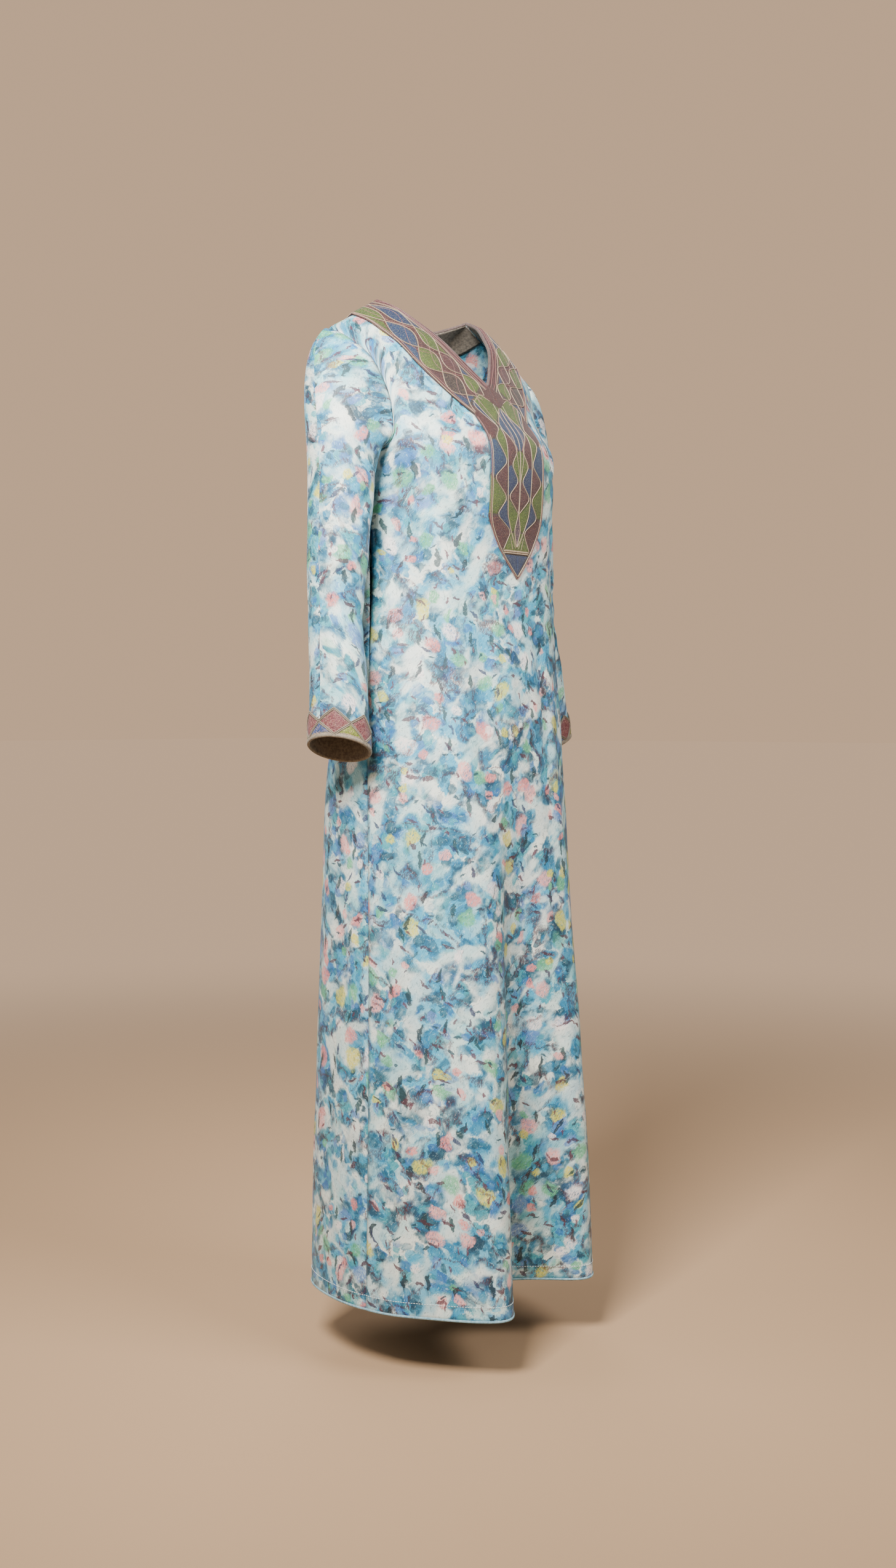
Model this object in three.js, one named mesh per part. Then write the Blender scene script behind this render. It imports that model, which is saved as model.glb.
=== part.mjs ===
// A long A-line abaya, worn: V neck, straight sleeves, an embroidered neck trim that runs down
// the chest as a pointed panel, and zigzag-topped cuff trims. It hangs hollow, as on a wearer.
// Units are millimetres. +Z is up, +X is the wearer's left and -Y is the front. The origin is
// midway between the neck ends of the two shoulder seams.
import * as THREE from "three";
import { mergeVertices } from "three/addons/utils/BufferGeometryUtils.js";

// ---- driving dimensions ----------------------------------------------------------------
const HEM_Z = -1337; // drop from the neck end of the shoulder seam to the hem
const ARMPIT_Z = -215;
const NECK_HALF = 95; // half width of the neck at the shoulder seams
const NECK_DEPTH = 114; // depth of the V
const BACK_NECK_DEPTH = 24;
const SHOULDER_TIP = { x: 190, z: -50 };
const CLOTH = 1.4; // wall of the printed cloth
const TRIM = 1.5; // wall of the embroidered trims
const FACING = 1.0; // wall of the neck and cuff facings
const SEAM_GAP = 0.3; // each piece stops this far short of a seam line
const FACING_GAP = 2.8; // facings stop this far short of theirs
const NECK_LAY = 1.8; // clearance from the neck trim or facing to the cloth that carries it
const CUFF_LAY = 0.5; // the same at the cuffs
const BAND_WIDTH = 56; // neck trim, measured along the shoulder seam
const PANEL_HALF = 57; // half width of the chest panel
const PANEL_STRAIGHT_Z = -296; // where the chest panel starts to taper
const PANEL_TIP_Z = -376;
const FACING_WIDTH = 38;
const CUFF_TRIM_HEIGHT = 39;
const CUFF_LOZENGES = 6;

// ---- resolution ------------------------------------------------------------------------
const HALF_COLUMNS = 16; // of the front and of the back, from the centre to a side seam
const SKIRT_ROWS = 21; // hem to armpit
const YOKE_ROWS = 2 * CUFF_LOZENGES; // armpit to neck and shoulder
const SLEEVE_ROWS = 13; // below the sleeve head
const HEAD_ROWS = 5; // in the sleeve head
const TRIM_COLUMNS = 6; // across the neck trim
const FACING_COLUMNS = 4;

// Horizontal sections of the worn form, by depth below the shoulder line. Each is an oval:
// half width, furthest point in front and behind, the y of the side seam, and how square it is.
const SECTIONS = [
  { z: 0, half: 240, front: 0, back: 0, side: 0, round: 2.3 },
  { z: -12, half: 239, front: -27, back: 21, side: -1, round: 2.2 },
  { z: -30, half: 235, front: -50, back: 42, side: -3, round: 2.15 },
  { z: -55, half: 228, front: -76, back: 57, side: -6, round: 2.1 },
  { z: -90, half: 210, front: -99, back: 67, side: -10, round: 2.0 },
  { z: -123, half: 193, front: -119, back: 73, side: -14, round: 2.0 },
  { z: -160, half: 177, front: -142, back: 77, side: -21, round: 2.05 },
  { z: -190, half: 167, front: -164, back: 79, side: -28, round: 2.2 },
  { z: -215, half: 159, front: -169, back: 80, side: -33, round: 2.45 },
  { z: -265, half: 155, front: -168, back: 79, side: -35, round: 2.55 },
  { z: -337, half: 155, front: -163, back: 78, side: -38, round: 2.5 },
  { z: -420, half: 158, front: -168, back: 82, side: -42, round: 2.4 },
  { z: -509, half: 163, front: -176, back: 91, side: -45, round: 2.3 },
  { z: -595, half: 168, front: -182, back: 100, side: -48, round: 2.3 },
  { z: -680, half: 172, front: -188, back: 107, side: -51, round: 2.3 },
  { z: -853, half: 176, front: -197, back: 113, side: -56, round: 2.3 },
  { z: -1025, half: 181, front: -208, back: 117, side: -60, round: 2.3 },
  { z: -1200, half: 186, front: -215, back: 121, side: -62, round: 2.25 },
  { z: -1337, half: 190, front: -219, back: 124, side: -63, round: 2.2 },
];

// Long folds that open towards the hem: where they are at the hem and at their top, half
// breadth, how far they stand out (or sink in, if negative) at the hem, the height where they
// begin, and how quickly they grow.
const FRONT_FOLDS = [
  { hem: -112, top: -84, breadth: 36, out: 40, from: -620, grow: 1.3 },
  { hem: 20, top: -22, breadth: 47, out: -96, from: -560, grow: 1.2 },
  { hem: 112, top: 80, breadth: 38, out: 26, from: -640, grow: 1.4 },
  { hem: -168, top: -150, breadth: 15, out: -9, from: -740, grow: 1.0 },
  { hem: 176, top: 160, breadth: 14, out: -8, from: -700, grow: 1.0 },
];
const BACK_FOLDS = [
  { hem: -138, top: -120, breadth: 26, out: 13, from: -560, grow: 1.1 },
  { hem: -72, top: -60, breadth: 30, out: -24, from: -520, grow: 1.2 },
  { hem: 4, top: 6, breadth: 34, out: 17, from: -470, grow: 1.2 },
  { hem: 78, top: 58, breadth: 28, out: -22, from: -560, grow: 1.1 },
  { hem: 141, top: 124, breadth: 24, out: 12, from: -600, grow: 1.2 },
];

// Centre line and size of each sleeve below its head: across is its half size from body to
// outside, fore its half size from front to back.
const SLEEVE_RINGS = [
  { z: -262, x: 204, y: -36, across: 40, fore: 46.5 },
  { z: -330, x: 209, y: -36, across: 37.5, fore: 43.5 },
  { z: -400, x: 214, y: -38, across: 34.5, fore: 40 },
  { z: -460, x: 218, y: -42, across: 33.5, fore: 39 },
  { z: -530, x: 220, y: -46, across: 34.5, fore: 40.5 },
  { z: -601, x: 223, y: -50, across: 36, fore: 42.5 },
];
const SLEEVE_SIDES = [
  { name: "right", sign: -1, topBack: 0, wristBack: 0 },
  { name: "left", sign: 1, topBack: 20, wristBack: 9 }, // this arm hangs a little further back
];
const CUFF_DROP = { inward: 0.44, back: 0.13 }; // slope of the cuff's rim towards the body and the back
const ELBOW_Z = -415;
const ELBOW_FOLDS = [
  { z: -392, depth: 3.5, breadth: 11 },
  { z: -428, depth: 5, breadth: 12 },
  { z: -462, depth: 3, breadth: 12 },
];

// ---- small helpers ---------------------------------------------------------------------
const clamp = (value, low, high) => Math.min(high, Math.max(low, value));
const lerp = (a, b, t) => a + (b - a) * t;
const smooth = (t) => t * t * (3 - 2 * t);
const bell = (distance, breadth) => Math.exp(-0.5 * (distance / breadth) ** 2);

// A table's row at height z, with a Catmull-Rom curve through each named column.
function rowAt(table, z) {
  let i = 0;
  while (i < table.length - 2 && z < table[i + 1].z) i++;
  const [a, b] = [table[i], table[i + 1]];
  const before = table[Math.max(i - 1, 0)];
  const after = table[Math.min(i + 2, table.length - 1)];
  const t = clamp((z - a.z) / (b.z - a.z), 0, 1);
  const row = {};
  for (const key of Object.keys(a)) {
    const span = b.z - a.z;
    const slopeA = (b[key] - before[key]) / (b.z - before.z || 1);
    const slopeB = (after[key] - a[key]) / (after.z - a.z || 1);
    row[key] =
      (2 * t ** 3 - 3 * t ** 2 + 1) * a[key] +
      (t ** 3 - 2 * t ** 2 + t) * span * slopeA +
      (3 * t ** 2 - 2 * t ** 3) * b[key] +
      (t ** 3 - t ** 2) * span * slopeB;
  }
  return row;
}

// Splits a grid's cell, corner p with q beside it and t, u in the next row, on its shorter diagonal.
const facesOf = (p, q, t, u) =>
  p.distanceTo(u) < q.distanceTo(t) ? [[p, q, u], [p, u, t]] : [[p, q, t], [q, u, t]];

// ---- the worn form ---------------------------------------------------------------------
// The shoulders slope, so a point's depth below the shoulder line depends on its x too.
function depthBelowShoulder(x, z) {
  const slope = -SHOULDER_TIP.z / (SHOULDER_TIP.x - NECK_HALF);
  const droop = slope * Math.max(0, Math.abs(x) - NECK_HALF);
  const fade = clamp((z - ARMPIT_Z) / (SHOULDER_TIP.z - ARMPIT_Z), 0, 1);
  return Math.min(0, z + droop * fade);
}

function foldOut(folds, x, z) {
  let out = 0;
  for (const fold of folds) {
    const down = clamp((fold.from - z) / (fold.from - HEM_Z), 0, 1);
    const centre = lerp(fold.top, fold.hem, down);
    out += fold.out * down ** fold.grow * bell(x - centre, fold.breadth * lerp(0.75, 1, down));
  }
  return out;
}

// The y of the form at (x, z), on the front or the back.
function formY(face, x, z) {
  const s = rowAt(SECTIONS, depthBelowShoulder(x, z));
  const across = clamp(Math.abs(x) / s.half, 0, 1);
  const depth = (1 - across ** s.round) ** (1 / s.round);
  const folds = face === "front" ? FRONT_FOLDS : BACK_FOLDS;
  const sign = face === "front" ? -1 : 1;
  const out = foldOut(folds, x, z) * smooth(clamp(depth * 1.6, 0, 1));
  return lerp(s.side, s[face], depth) + sign * out;
}

// The upper edge of a panel at column u, 0 at the centre and 1 at the shoulder tip.
const NECK_SHARE = 0.46; // share of the columns that ends on the neckline
function topEdge(face, u) {
  if (u > NECK_SHARE) {
    const t = (u - NECK_SHARE) / (1 - NECK_SHARE);
    return { x: lerp(NECK_HALF, SHOULDER_TIP.x, t), z: SHOULDER_TIP.z * t };
  }
  const t = u / NECK_SHARE;
  const z = face === "front" ? -NECK_DEPTH * (1 - t ** 1.1) : -BACK_NECK_DEPTH * (1 - t ** 2);
  return { x: NECK_HALF * t, z };
}

// The armhole, by share of the height from armpit to shoulder tip.
const armholeX = (v) =>
  lerp(rowAt(SECTIONS, ARMPIT_Z).half, SHOULDER_TIP.x, v ** 2.2) - 9 * Math.sin(Math.PI * v);
function armholePoint(v) {
  const [x, z] = [armholeX(v), lerp(ARMPIT_Z, SHOULDER_TIP.z, v)];
  return new THREE.Vector3(x, formY("front", x, z), z);
}

// Shares of a curve's parameter that cut it into equal lengths.
function evenShares(curve, count) {
  const fine = 400;
  const lengths = [0];
  for (let i = 1; i <= fine; i++)
    lengths.push(lengths[i - 1] + curve(i / fine).distanceTo(curve((i - 1) / fine)));
  const shares = [0];
  for (let k = 1; k < count; k++)
    shares.push(lengths.findIndex((length) => length >= (k / count) * lengths[fine]) / fine);
  return [...shares, 1];
}
const YOKE_SHARES = evenShares(armholePoint, YOKE_ROWS);

// A point of the front or the back. u runs from -1 to 1 between the side seams; row 0 is the
// hem, SKIRT_ROWS the armpit and SKIRT_ROWS + YOKE_ROWS the neck and shoulder edge.
function panelPoint(face, u, row) {
  const side = Math.sign(u);
  const au = Math.abs(u);
  if (row <= SKIRT_ROWS) {
    const z = lerp(HEM_Z, ARMPIT_Z, row / SKIRT_ROWS);
    const s = rowAt(SECTIONS, z);
    const x = side * s.half * Math.sin((au * Math.PI) / 2) ** (2 / s.round);
    return new THREE.Vector3(x, au === 1 ? s.side : formY(face, x, z), z);
  }
  const v = YOKE_SHARES[row - SKIRT_ROWS];
  const s = rowAt(SECTIONS, ARMPIT_Z);
  const low = s.half * Math.sin((au * Math.PI) / 2) ** (2 / s.round);
  const top = topEdge(face, au);
  const z = lerp(ARMPIT_Z, top.z, v);
  const hollow = armholeX(v) - lerp(s.half, SHOULDER_TIP.x, smooth(v));
  const x = side * (lerp(low, top.x, smooth(v)) + hollow * au ** 4);
  return new THREE.Vector3(x, formY(face, x, z), z);
}

function panelGrid(face) {
  const rows = [];
  for (let row = 0; row <= SKIRT_ROWS + YOKE_ROWS; row++) {
    const points = [];
    for (let c = -HALF_COLUMNS; c <= HALF_COLUMNS; c++)
      points.push(panelPoint(face, c / HALF_COLUMNS, row));
    rows.push(points);
  }
  return { rows, flip: face === "back" };
}

// ---- sleeves ---------------------------------------------------------------------------
// The armhole as a closed loop of points: down the front edge and up the back edge.
function armholeLoop(sign) {
  const loop = [];
  for (let row = SKIRT_ROWS + YOKE_ROWS; row >= SKIRT_ROWS; row--)
    loop.push(panelPoint("front", sign, row));
  for (let row = SKIRT_ROWS + 1; row < SKIRT_ROWS + YOKE_ROWS; row++)
    loop.push(panelPoint("back", sign, row));
  return loop;
}

// A ring of the sleeve: 0 outside, a quarter turn at the front, a half turn at the body.
function ringPoint(side, z, turn, flat) {
  const ring = rowAt(SLEEVE_RINGS, z);
  const down = clamp((SLEEVE_RINGS[0].z - z) / (SLEEVE_RINGS[0].z - SLEEVE_RINGS.at(-1).z), 0, 1);
  const y = ring.y + lerp(side.topBack, side.wristBack, down);
  let dip = 0;
  const inside = 0.5 - 0.5 * Math.sin(turn); // creases gather at the front of the elbow
  for (const fold of ELBOW_FOLDS)
    dip += fold.depth * bell(z - fold.z - 10 * Math.cos(turn), fold.breadth) * (1 - inside);
  const across = ring.across - dip;
  const fore = ring.fore - dip;
  const point = new THREE.Vector3(
    side.sign * (ring.x + across * Math.cos(turn)),
    y - fore * Math.sin(turn),
    z,
  );
  if (flat) return point;
  const tilt = smooth(clamp((ELBOW_Z - z) / (ELBOW_Z - SLEEVE_RINGS.at(-1).z), 0, 1));
  point.z += tilt * CUFF_DROP.inward * across * Math.cos(turn);
  point.z -= tilt * CUFF_DROP.back * (point.y - y);
  return point;
}

// The wrist's points are evenly spaced, four to each lozenge of the cuff trim.
const WRIST_TURNS = Array.from({ length: CUFF_LOZENGES * 4 }, (_, k) => (k / CUFF_LOZENGES) * (Math.PI / 2));

// Turns of the ring that meet the armhole loop's points, by the loop's own arc length.
function loopTurns(loop) {
  const lengths = [0];
  for (let i = 1; i <= loop.length; i++)
    lengths.push(lengths[i - 1] + loop[i % loop.length].distanceTo(loop[i - 1]));
  const bottom = YOKE_ROWS;
  return loop.map((_, i) =>
    i <= bottom
      ? (Math.PI * lengths[i]) / lengths[bottom]
      : Math.PI + (Math.PI * (lengths[i] - lengths[bottom])) / (lengths.at(-1) - lengths[bottom]),
  );
}

// The sleeve head swings from the armhole, which faces outwards, to the first level ring.
function headPoint(side, from, turn, t) {
  const to = ringPoint(side, SLEEVE_RINGS[0].z, turn, true);
  const over = 0.5 + 0.5 * Math.cos(turn); // 1 on top of the shoulder, 0 under the arm
  const reach = lerp(18, 46, over);
  const rise = lerp(18, 150, over);
  const a = from.clone().add(new THREE.Vector3(side.sign * reach, 0, lerp(-2, -14, over)));
  const b = to.clone().add(new THREE.Vector3(0, 0, rise * 0.62));
  return new THREE.CubicBezierCurve3(from, a, b, to).getPoint(t);
}

function sleeveGrid(side) {
  const loop = armholeLoop(side.sign);
  const turns = loopTurns(loop);
  const rows = [];
  for (let i = 0; i < HEAD_ROWS; i++)
    rows.push(loop.map((p, k) => (i ? headPoint(side, p, turns[k], i / HEAD_ROWS) : p)));
  const [top, wrist] = [SLEEVE_RINGS[0].z, SLEEVE_RINGS.at(-1).z];
  for (let i = 0; i <= SLEEVE_ROWS; i++) {
    const t = i / SLEEVE_ROWS;
    rows.push(turns.map((turn, k) => ringPoint(side, lerp(top, wrist, t), lerp(turn, WRIST_TURNS[k], t))));
  }
  return { rows, closed: true, flip: side.sign < 0 };
}

// ---- trims and facings -----------------------------------------------------------------
// A neck strip's point: s runs down the neckline from the shoulder seam and w across the strip.
function bandOutline(face, width) {
  const slope = SHOULDER_TIP.z / (SHOULDER_TIP.x - NECK_HALF);
  const drop = face === "front" ? NECK_DEPTH : BACK_NECK_DEPTH;
  const power = face === "front" ? 1.1 : 2;
  const foot = face === "front" ? { x: PANEL_HALF, z: -NECK_DEPTH - width * 0.86 } : { x: 0, z: -drop - width };
  return {
    inner: (s) => ({ x: NECK_HALF * (1 - s), z: -drop * (1 - (1 - s) ** power) }),
    outer: (s) => {
      const start = { x: NECK_HALF + width * 0.91, z: slope * width * 0.91 };
      const bow = face === "front" ? 7 * Math.sin(Math.PI * s) : 0;
      if (face === "front") return { x: lerp(start.x, foot.x, s) + bow, z: lerp(start.z, foot.z, s) - bow };
      const turn = (s * Math.PI) / 2;
      return { x: start.x * Math.cos(turn), z: lerp(start.z, foot.z, Math.sin(turn)) };
    },
  };
}

// The point of a panel's faceted surface at (x, z): trims and facings are made from these.
const panelGrids = { front: panelGrid("front"), back: panelGrid("back") };
const BAND_SHARES = Array.from({ length: 13 }, (_, i) => (i / 12) ** 1.5);
function onPanel(face, x, z) {
  const { rows } = panelGrids[face];
  let best = null;
  for (let r = SKIRT_ROWS - 4; r < rows.length - 1; r++)
    for (let c = 0; c < rows[r].length - 1; c++)
      for (const [p, q, t] of facesOf(rows[r][c], rows[r][c + 1], rows[r + 1][c], rows[r + 1][c + 1])) {
        const area = (q.x - p.x) * (t.z - p.z) - (t.x - p.x) * (q.z - p.z);
        const b = ((x - p.x) * (t.z - p.z) - (t.x - p.x) * (z - p.z)) / area;
        const d = ((q.x - p.x) * (z - p.z) - (x - p.x) * (q.z - p.z)) / area;
        const miss = Math.max(0, -b, -d, b + d - 1);
        if (!best || miss < best.miss) best = { miss, y: p.y + b * (q.y - p.y) + d * (t.y - p.y) };
      }
  return new THREE.Vector3(x, best.y, z);
}

// A row of points on a panel, from one edge of a strip to the other.
const stripRow = (face, sign, from, to, columns) =>
  Array.from({ length: columns + 1 }, (_, i) =>
    onPanel(face, sign * lerp(from.x, to.x, i / columns), lerp(from.z, to.z, i / columns)),
  );

// One half of the front trim: the band beside the V, then the chest panel to its tip.
function frontTrimHalf(sign) {
  const { inner, outer } = bandOutline("front", BAND_WIDTH);
  const rows = [];
  const push = (a, b) => rows.push(stripRow("front", sign, a, b, TRIM_COLUMNS));
  for (const s of BAND_SHARES) push(inner(s), outer(s));
  const start = outer(1).z;
  const straightRows = 8;
  for (let i = 1; i <= straightRows; i++) {
    const t = i / straightRows;
    push({ x: 0, z: lerp(-NECK_DEPTH, PANEL_STRAIGHT_Z, t) }, { x: PANEL_HALF, z: lerp(start, PANEL_STRAIGHT_Z, t) });
  }
  const taperRows = 5;
  for (let i = 1; i <= taperRows; i++) {
    const t = i / taperRows;
    const z = lerp(PANEL_STRAIGHT_Z, PANEL_TIP_Z, t);
    push({ x: 0, z }, { x: Math.max(1.5, PANEL_HALF * (1 - t ** 1.25)), z });
  }
  return { rows, flip: sign > 0 };
}

function neckStripHalf(face, width, columns, sign) {
  const { inner, outer } = bandOutline(face, width);
  const foot = face === "front" ? { x: 0, z: -NECK_DEPTH - width * 1.25 } : null;
  const rows = [];
  for (const s of BAND_SHARES) {
    const a = inner(s);
    const o = outer(s);
    const b = foot ? { x: o.x - PANEL_HALF * s, z: lerp(o.z, foot.z, s ** 2) } : o;
    rows.push(stripRow(face, sign, a, b, columns));
  }
  return { rows, flip: sign > 0 === (face === "front") };
}

// A strip round the cuff. Its lower edge is the sleeve's rim; the top may be a zigzag of
// lozenge tips.
function cuffGrid(side, zigzag) {
  const wrist = SLEEVE_RINGS.at(-1).z;
  const rows = [1, 0.5, 0].map((level) =>
    WRIST_TURNS.map((turn, k) => {
      const peak = zigzag ? 1 - 0.2 * Math.abs((k % 4) - 2) : 1;
      const height = (zigzag ? CUFF_TRIM_HEIGHT : FACING_WIDTH) * peak * level;
      return ringPoint(side, wrist + height, turn);
    }),
  );
  return { rows, closed: true, flip: side.sign < 0 };
}

// ---- walls -----------------------------------------------------------------------------
// Joins grids into one indexed surface whose faces point outwards.
function surfaceOf(grids) {
  const corners = [];
  for (const { rows, closed, flip } of grids)
    for (let r = 0; r < rows.length - 1; r++) {
      const count = rows[r].length;
      for (let c = 0; c < (closed ? count : count - 1); c++) {
        const d = (c + 1) % count;
        const [p, q, t, u] = [rows[r][c], rows[r][d], rows[r + 1][c], rows[r + 1][d]];
        const faces = facesOf(p, q, t, u).flat();
        corners.push(...(flip ? faces.reverse() : faces));
      }
    }
  const surface = new THREE.BufferGeometry().setFromPoints(corners);
  return mergeVertices(surface, 1e-3);
}

// Adds each surface's face normals at every point, so that pieces that meet at a seam agree.
const keyOf = (p) => `${Math.round(p.x * 50)},${Math.round(p.y * 50)},${Math.round(p.z * 50)}`;
function gatherNormals(surfaces) {
  const normals = new Map();
  for (const surface of surfaces) {
    const position = surface.getAttribute("position");
    const index = surface.index.array;
    for (let i = 0; i < index.length; i += 3) {
      const [a, b, c] = [0, 1, 2].map((k) => new THREE.Vector3().fromBufferAttribute(position, index[i + k]));
      const face = b.clone().sub(a).cross(c.clone().sub(a));
      for (const p of [a, b, c]) {
        const key = keyOf(p);
        if (!normals.has(key)) normals.set(key, new THREE.Vector3());
        normals.get(key).add(face);
      }
    }
  }
  return normals;
}

// A closed wall on a surface: its outer face lies `lift` above the surface, its inner face
// `thickness` below that. Free edges are drawn in by `inset`, so neighbours never touch.
function wallOf(surface, normals, lift, thickness, inset) {
  const position = surface.getAttribute("position");
  const index = Array.from(surface.index.array);
  const points = [];
  for (let i = 0; i < position.count; i++) points.push(new THREE.Vector3().fromBufferAttribute(position, i));
  const edges = new Map();
  for (let i = 0; i < index.length; i += 3)
    for (const [a, b] of [[0, 1], [1, 2], [2, 0]]) {
      const [from, to] = [index[i + a], index[i + b]];
      const back = `${to},${from}`;
      if (edges.has(back)) edges.delete(back);
      else edges.set(`${from},${to}`, [from, to]);
    }
  const rim = [...edges.values()];
  const inward = new Map();
  const normalAt = points.map((p) => normals.get(keyOf(p)).clone().normalize());
  for (const [from, to] of rim) {
    const along = points[to].clone().sub(points[from]).normalize();
    for (const end of [from, to]) {
      const step = normalAt[end].clone().cross(along);
      inward.set(end, (inward.get(end) ?? new THREE.Vector3()).add(step));
    }
  }
  const drawnIn = points.map((p, i) =>
    inward.has(i) ? p.clone().addScaledVector(inward.get(i).normalize(), inset) : p.clone(),
  );
  const outer = drawnIn.map((p, i) => p.clone().addScaledVector(normalAt[i], lift));
  const inner = outer.map((p, i) => p.clone().addScaledVector(normalAt[i], -thickness));
  const faces = [...index];
  for (let i = 0; i < index.length; i += 3)
    faces.push(index[i] + points.length, index[i + 2] + points.length, index[i + 1] + points.length);
  for (const [from, to] of rim) {
    const [fromIn, toIn] = [from + points.length, to + points.length];
    if (outer[to].distanceTo(inner[from]) < outer[from].distanceTo(inner[to]))
      faces.push(to, from, fromIn, to, fromIn, toIn);
    else faces.push(to, from, toIn, from, fromIn, toIn);
  }
  return new THREE.BufferGeometry().setFromPoints([...outer, ...inner]).setIndex(faces);
}

// ---- the garment -----------------------------------------------------------------------
const printed = new THREE.MeshStandardMaterial({ color: 0xc9dde0, roughness: 0.62, side: THREE.DoubleSide });
const embroidered = new THREE.MeshStandardMaterial({ color: 0x7a6a5c, roughness: 0.7 });
const facingCloth = new THREE.MeshStandardMaterial({ color: 0x7b7062, roughness: 0.85 });

const abaya = new THREE.Group();
abaya.name = "abaya";
function add(name, geometry, material) {
  const mesh = new THREE.Mesh(geometry, material);
  mesh.name = name;
  abaya.add(mesh);
}

const cloth = {
  front: surfaceOf([panelGrid("front")]),
  back: surfaceOf([panelGrid("back")]),
};
for (const side of SLEEVE_SIDES) cloth[`sleeve_${side.name}`] = surfaceOf([sleeveGrid(side)]);
const clothNormals = gatherNormals(Object.values(cloth));
for (const [name, surface] of Object.entries(cloth))
  add(name, wallOf(surface, clothNormals, 0, CLOTH, SEAM_GAP), printed);

// Trims lie on the cloth and facings line it. Pieces added together share a seam.
function addStrips(pieces, lift, thickness, gap, material) {
  const surfaces = Object.entries(pieces).map(([name, grids]) => [name, surfaceOf(grids)]);
  const normals = gatherNormals(surfaces.map(([, surface]) => surface));
  for (const [name, surface] of surfaces)
    add(name, wallOf(surface, normals, lift, thickness, gap), material);
}
const bothHalves = (half) => [half(-1), half(1)];
addStrips(
  {
    neck_trim_front: bothHalves(frontTrimHalf),
    neck_trim_back: bothHalves((sign) => neckStripHalf("back", BAND_WIDTH, TRIM_COLUMNS, sign)),
  },
  NECK_LAY + TRIM,
  TRIM,
  SEAM_GAP,
  embroidered,
);
addStrips(
  {
    neck_facing_front: bothHalves((sign) => neckStripHalf("front", FACING_WIDTH, FACING_COLUMNS, sign)),
    neck_facing_back: bothHalves((sign) => neckStripHalf("back", FACING_WIDTH, FACING_COLUMNS, sign)),
  },
  -(CLOTH + NECK_LAY),
  FACING,
  FACING_GAP,
  facingCloth,
);
for (const side of SLEEVE_SIDES) {
  const trim = { [`cuff_trim_${side.name}`]: [cuffGrid(side, true)] };
  const facing = { [`cuff_facing_${side.name}`]: [cuffGrid(side, false)] };
  addStrips(trim, CUFF_LAY + TRIM, TRIM, SEAM_GAP, embroidered);
  addStrips(facing, -(CLOTH + CUFF_LAY), FACING, FACING_GAP, facingCloth);
}

export default abaya;
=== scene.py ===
# %% [markdown]
# # A worn abaya
# The garment is a long A-line dress with a V neck, straight sleeves, a pointed chest panel of
# couched embroidery and zigzag cuffs. It is sewn from a front, a back and two sleeves, and it
# keeps the shape that a wearer gives it. The CAD model already fixes where everything is, so
# this lesson loads it first and then dresses each of its nodes in finer cloth.

# %% The frame
import math

import bmesh
import bpy
import numpy as np
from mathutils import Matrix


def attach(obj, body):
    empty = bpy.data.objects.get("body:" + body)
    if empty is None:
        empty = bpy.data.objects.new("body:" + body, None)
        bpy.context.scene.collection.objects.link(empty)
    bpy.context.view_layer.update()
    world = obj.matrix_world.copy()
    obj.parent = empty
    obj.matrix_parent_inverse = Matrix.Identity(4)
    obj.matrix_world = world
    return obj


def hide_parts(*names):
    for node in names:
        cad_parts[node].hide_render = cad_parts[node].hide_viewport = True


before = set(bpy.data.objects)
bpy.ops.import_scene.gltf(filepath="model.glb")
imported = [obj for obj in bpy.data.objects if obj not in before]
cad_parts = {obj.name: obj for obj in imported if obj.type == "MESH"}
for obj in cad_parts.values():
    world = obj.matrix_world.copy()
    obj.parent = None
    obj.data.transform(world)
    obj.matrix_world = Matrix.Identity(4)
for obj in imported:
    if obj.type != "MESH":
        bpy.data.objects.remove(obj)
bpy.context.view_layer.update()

MM = 0.001  # all shapes below are worked out in millimetres, and meshes are in metres
BODY = "root"
print("CAD nodes:", ", ".join(sorted(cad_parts)))

# %% [markdown]
# ## Camera and light
# The garment is seen from its right front and a little above its middle, with a normal lens. A
# large soft key lamp, a weaker fill and two lamps from behind are the usual studio set for
# cloth: the key lamp comes from one side, so that folds throw soft shade. The floor comes last.

# %% Camera
FOCAL_PIXELS, FRAME_PIXELS = 3000.0, 2548.0  # the focal length and the height of the frame
SENSOR = 36.0
EYE = (-1.954, -1.685, -0.563)
TILT, HEADING = 88, -50  # degrees up from straight down, and round from looking along +y
camera_data = bpy.data.cameras.new("studio_camera")
camera_data.sensor_fit = "VERTICAL"
camera_data.sensor_height = SENSOR
camera_data.lens = SENSOR * FOCAL_PIXELS / FRAME_PIXELS
camera = bpy.data.objects.new("studio_camera", camera_data)
camera.location = EYE
camera.rotation_euler = (math.radians(TILT), 0, math.radians(HEADING))
bpy.context.collection.objects.link(camera)
bpy.context.scene.camera = camera
print("camera lens:", round(camera_data.lens, 1), "mm")


# %% Lamps
def lamp(name, place, aim, size, watts, tint, spread=180):
    """A square area lamp at place that faces aim: its -Z axis is turned along aim - place."""
    data = bpy.data.lights.new(name, "AREA")
    data.size, data.energy, data.color, data.spread = size, watts, tint, math.radians(spread)
    obj = bpy.data.objects.new(name, data)
    obj.location = place
    way = np.subtract(aim, place)
    obj.rotation_euler = (
        math.acos(-way[2] / np.linalg.norm(way)), 0, math.atan2(way[1], way[0]) - math.pi / 2)
    bpy.context.collection.objects.link(obj)


CHEST = (0, 0, -0.18)
lamp("key_lamp", (-1.75, -0.8, 0.9), CHEST, 0.7, 64, (1.0, 0.99, 0.965), 100)
lamp("fill_lamp", (0.1, -1.9, 0.8), CHEST, 1.2, 24, (0.98, 0.99, 1.0), 110)
lamp("rim_lamp", (1.5, 1.7, 0.7), CHEST, 1.4, 24, (1.0, 0.97, 0.93))
lamp("back_left_lamp", (-1.9, 1.3, 0.4), CHEST, 1.4, 18, (1.0, 0.98, 0.95))
print("lamps:", len(bpy.data.lights))

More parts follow.
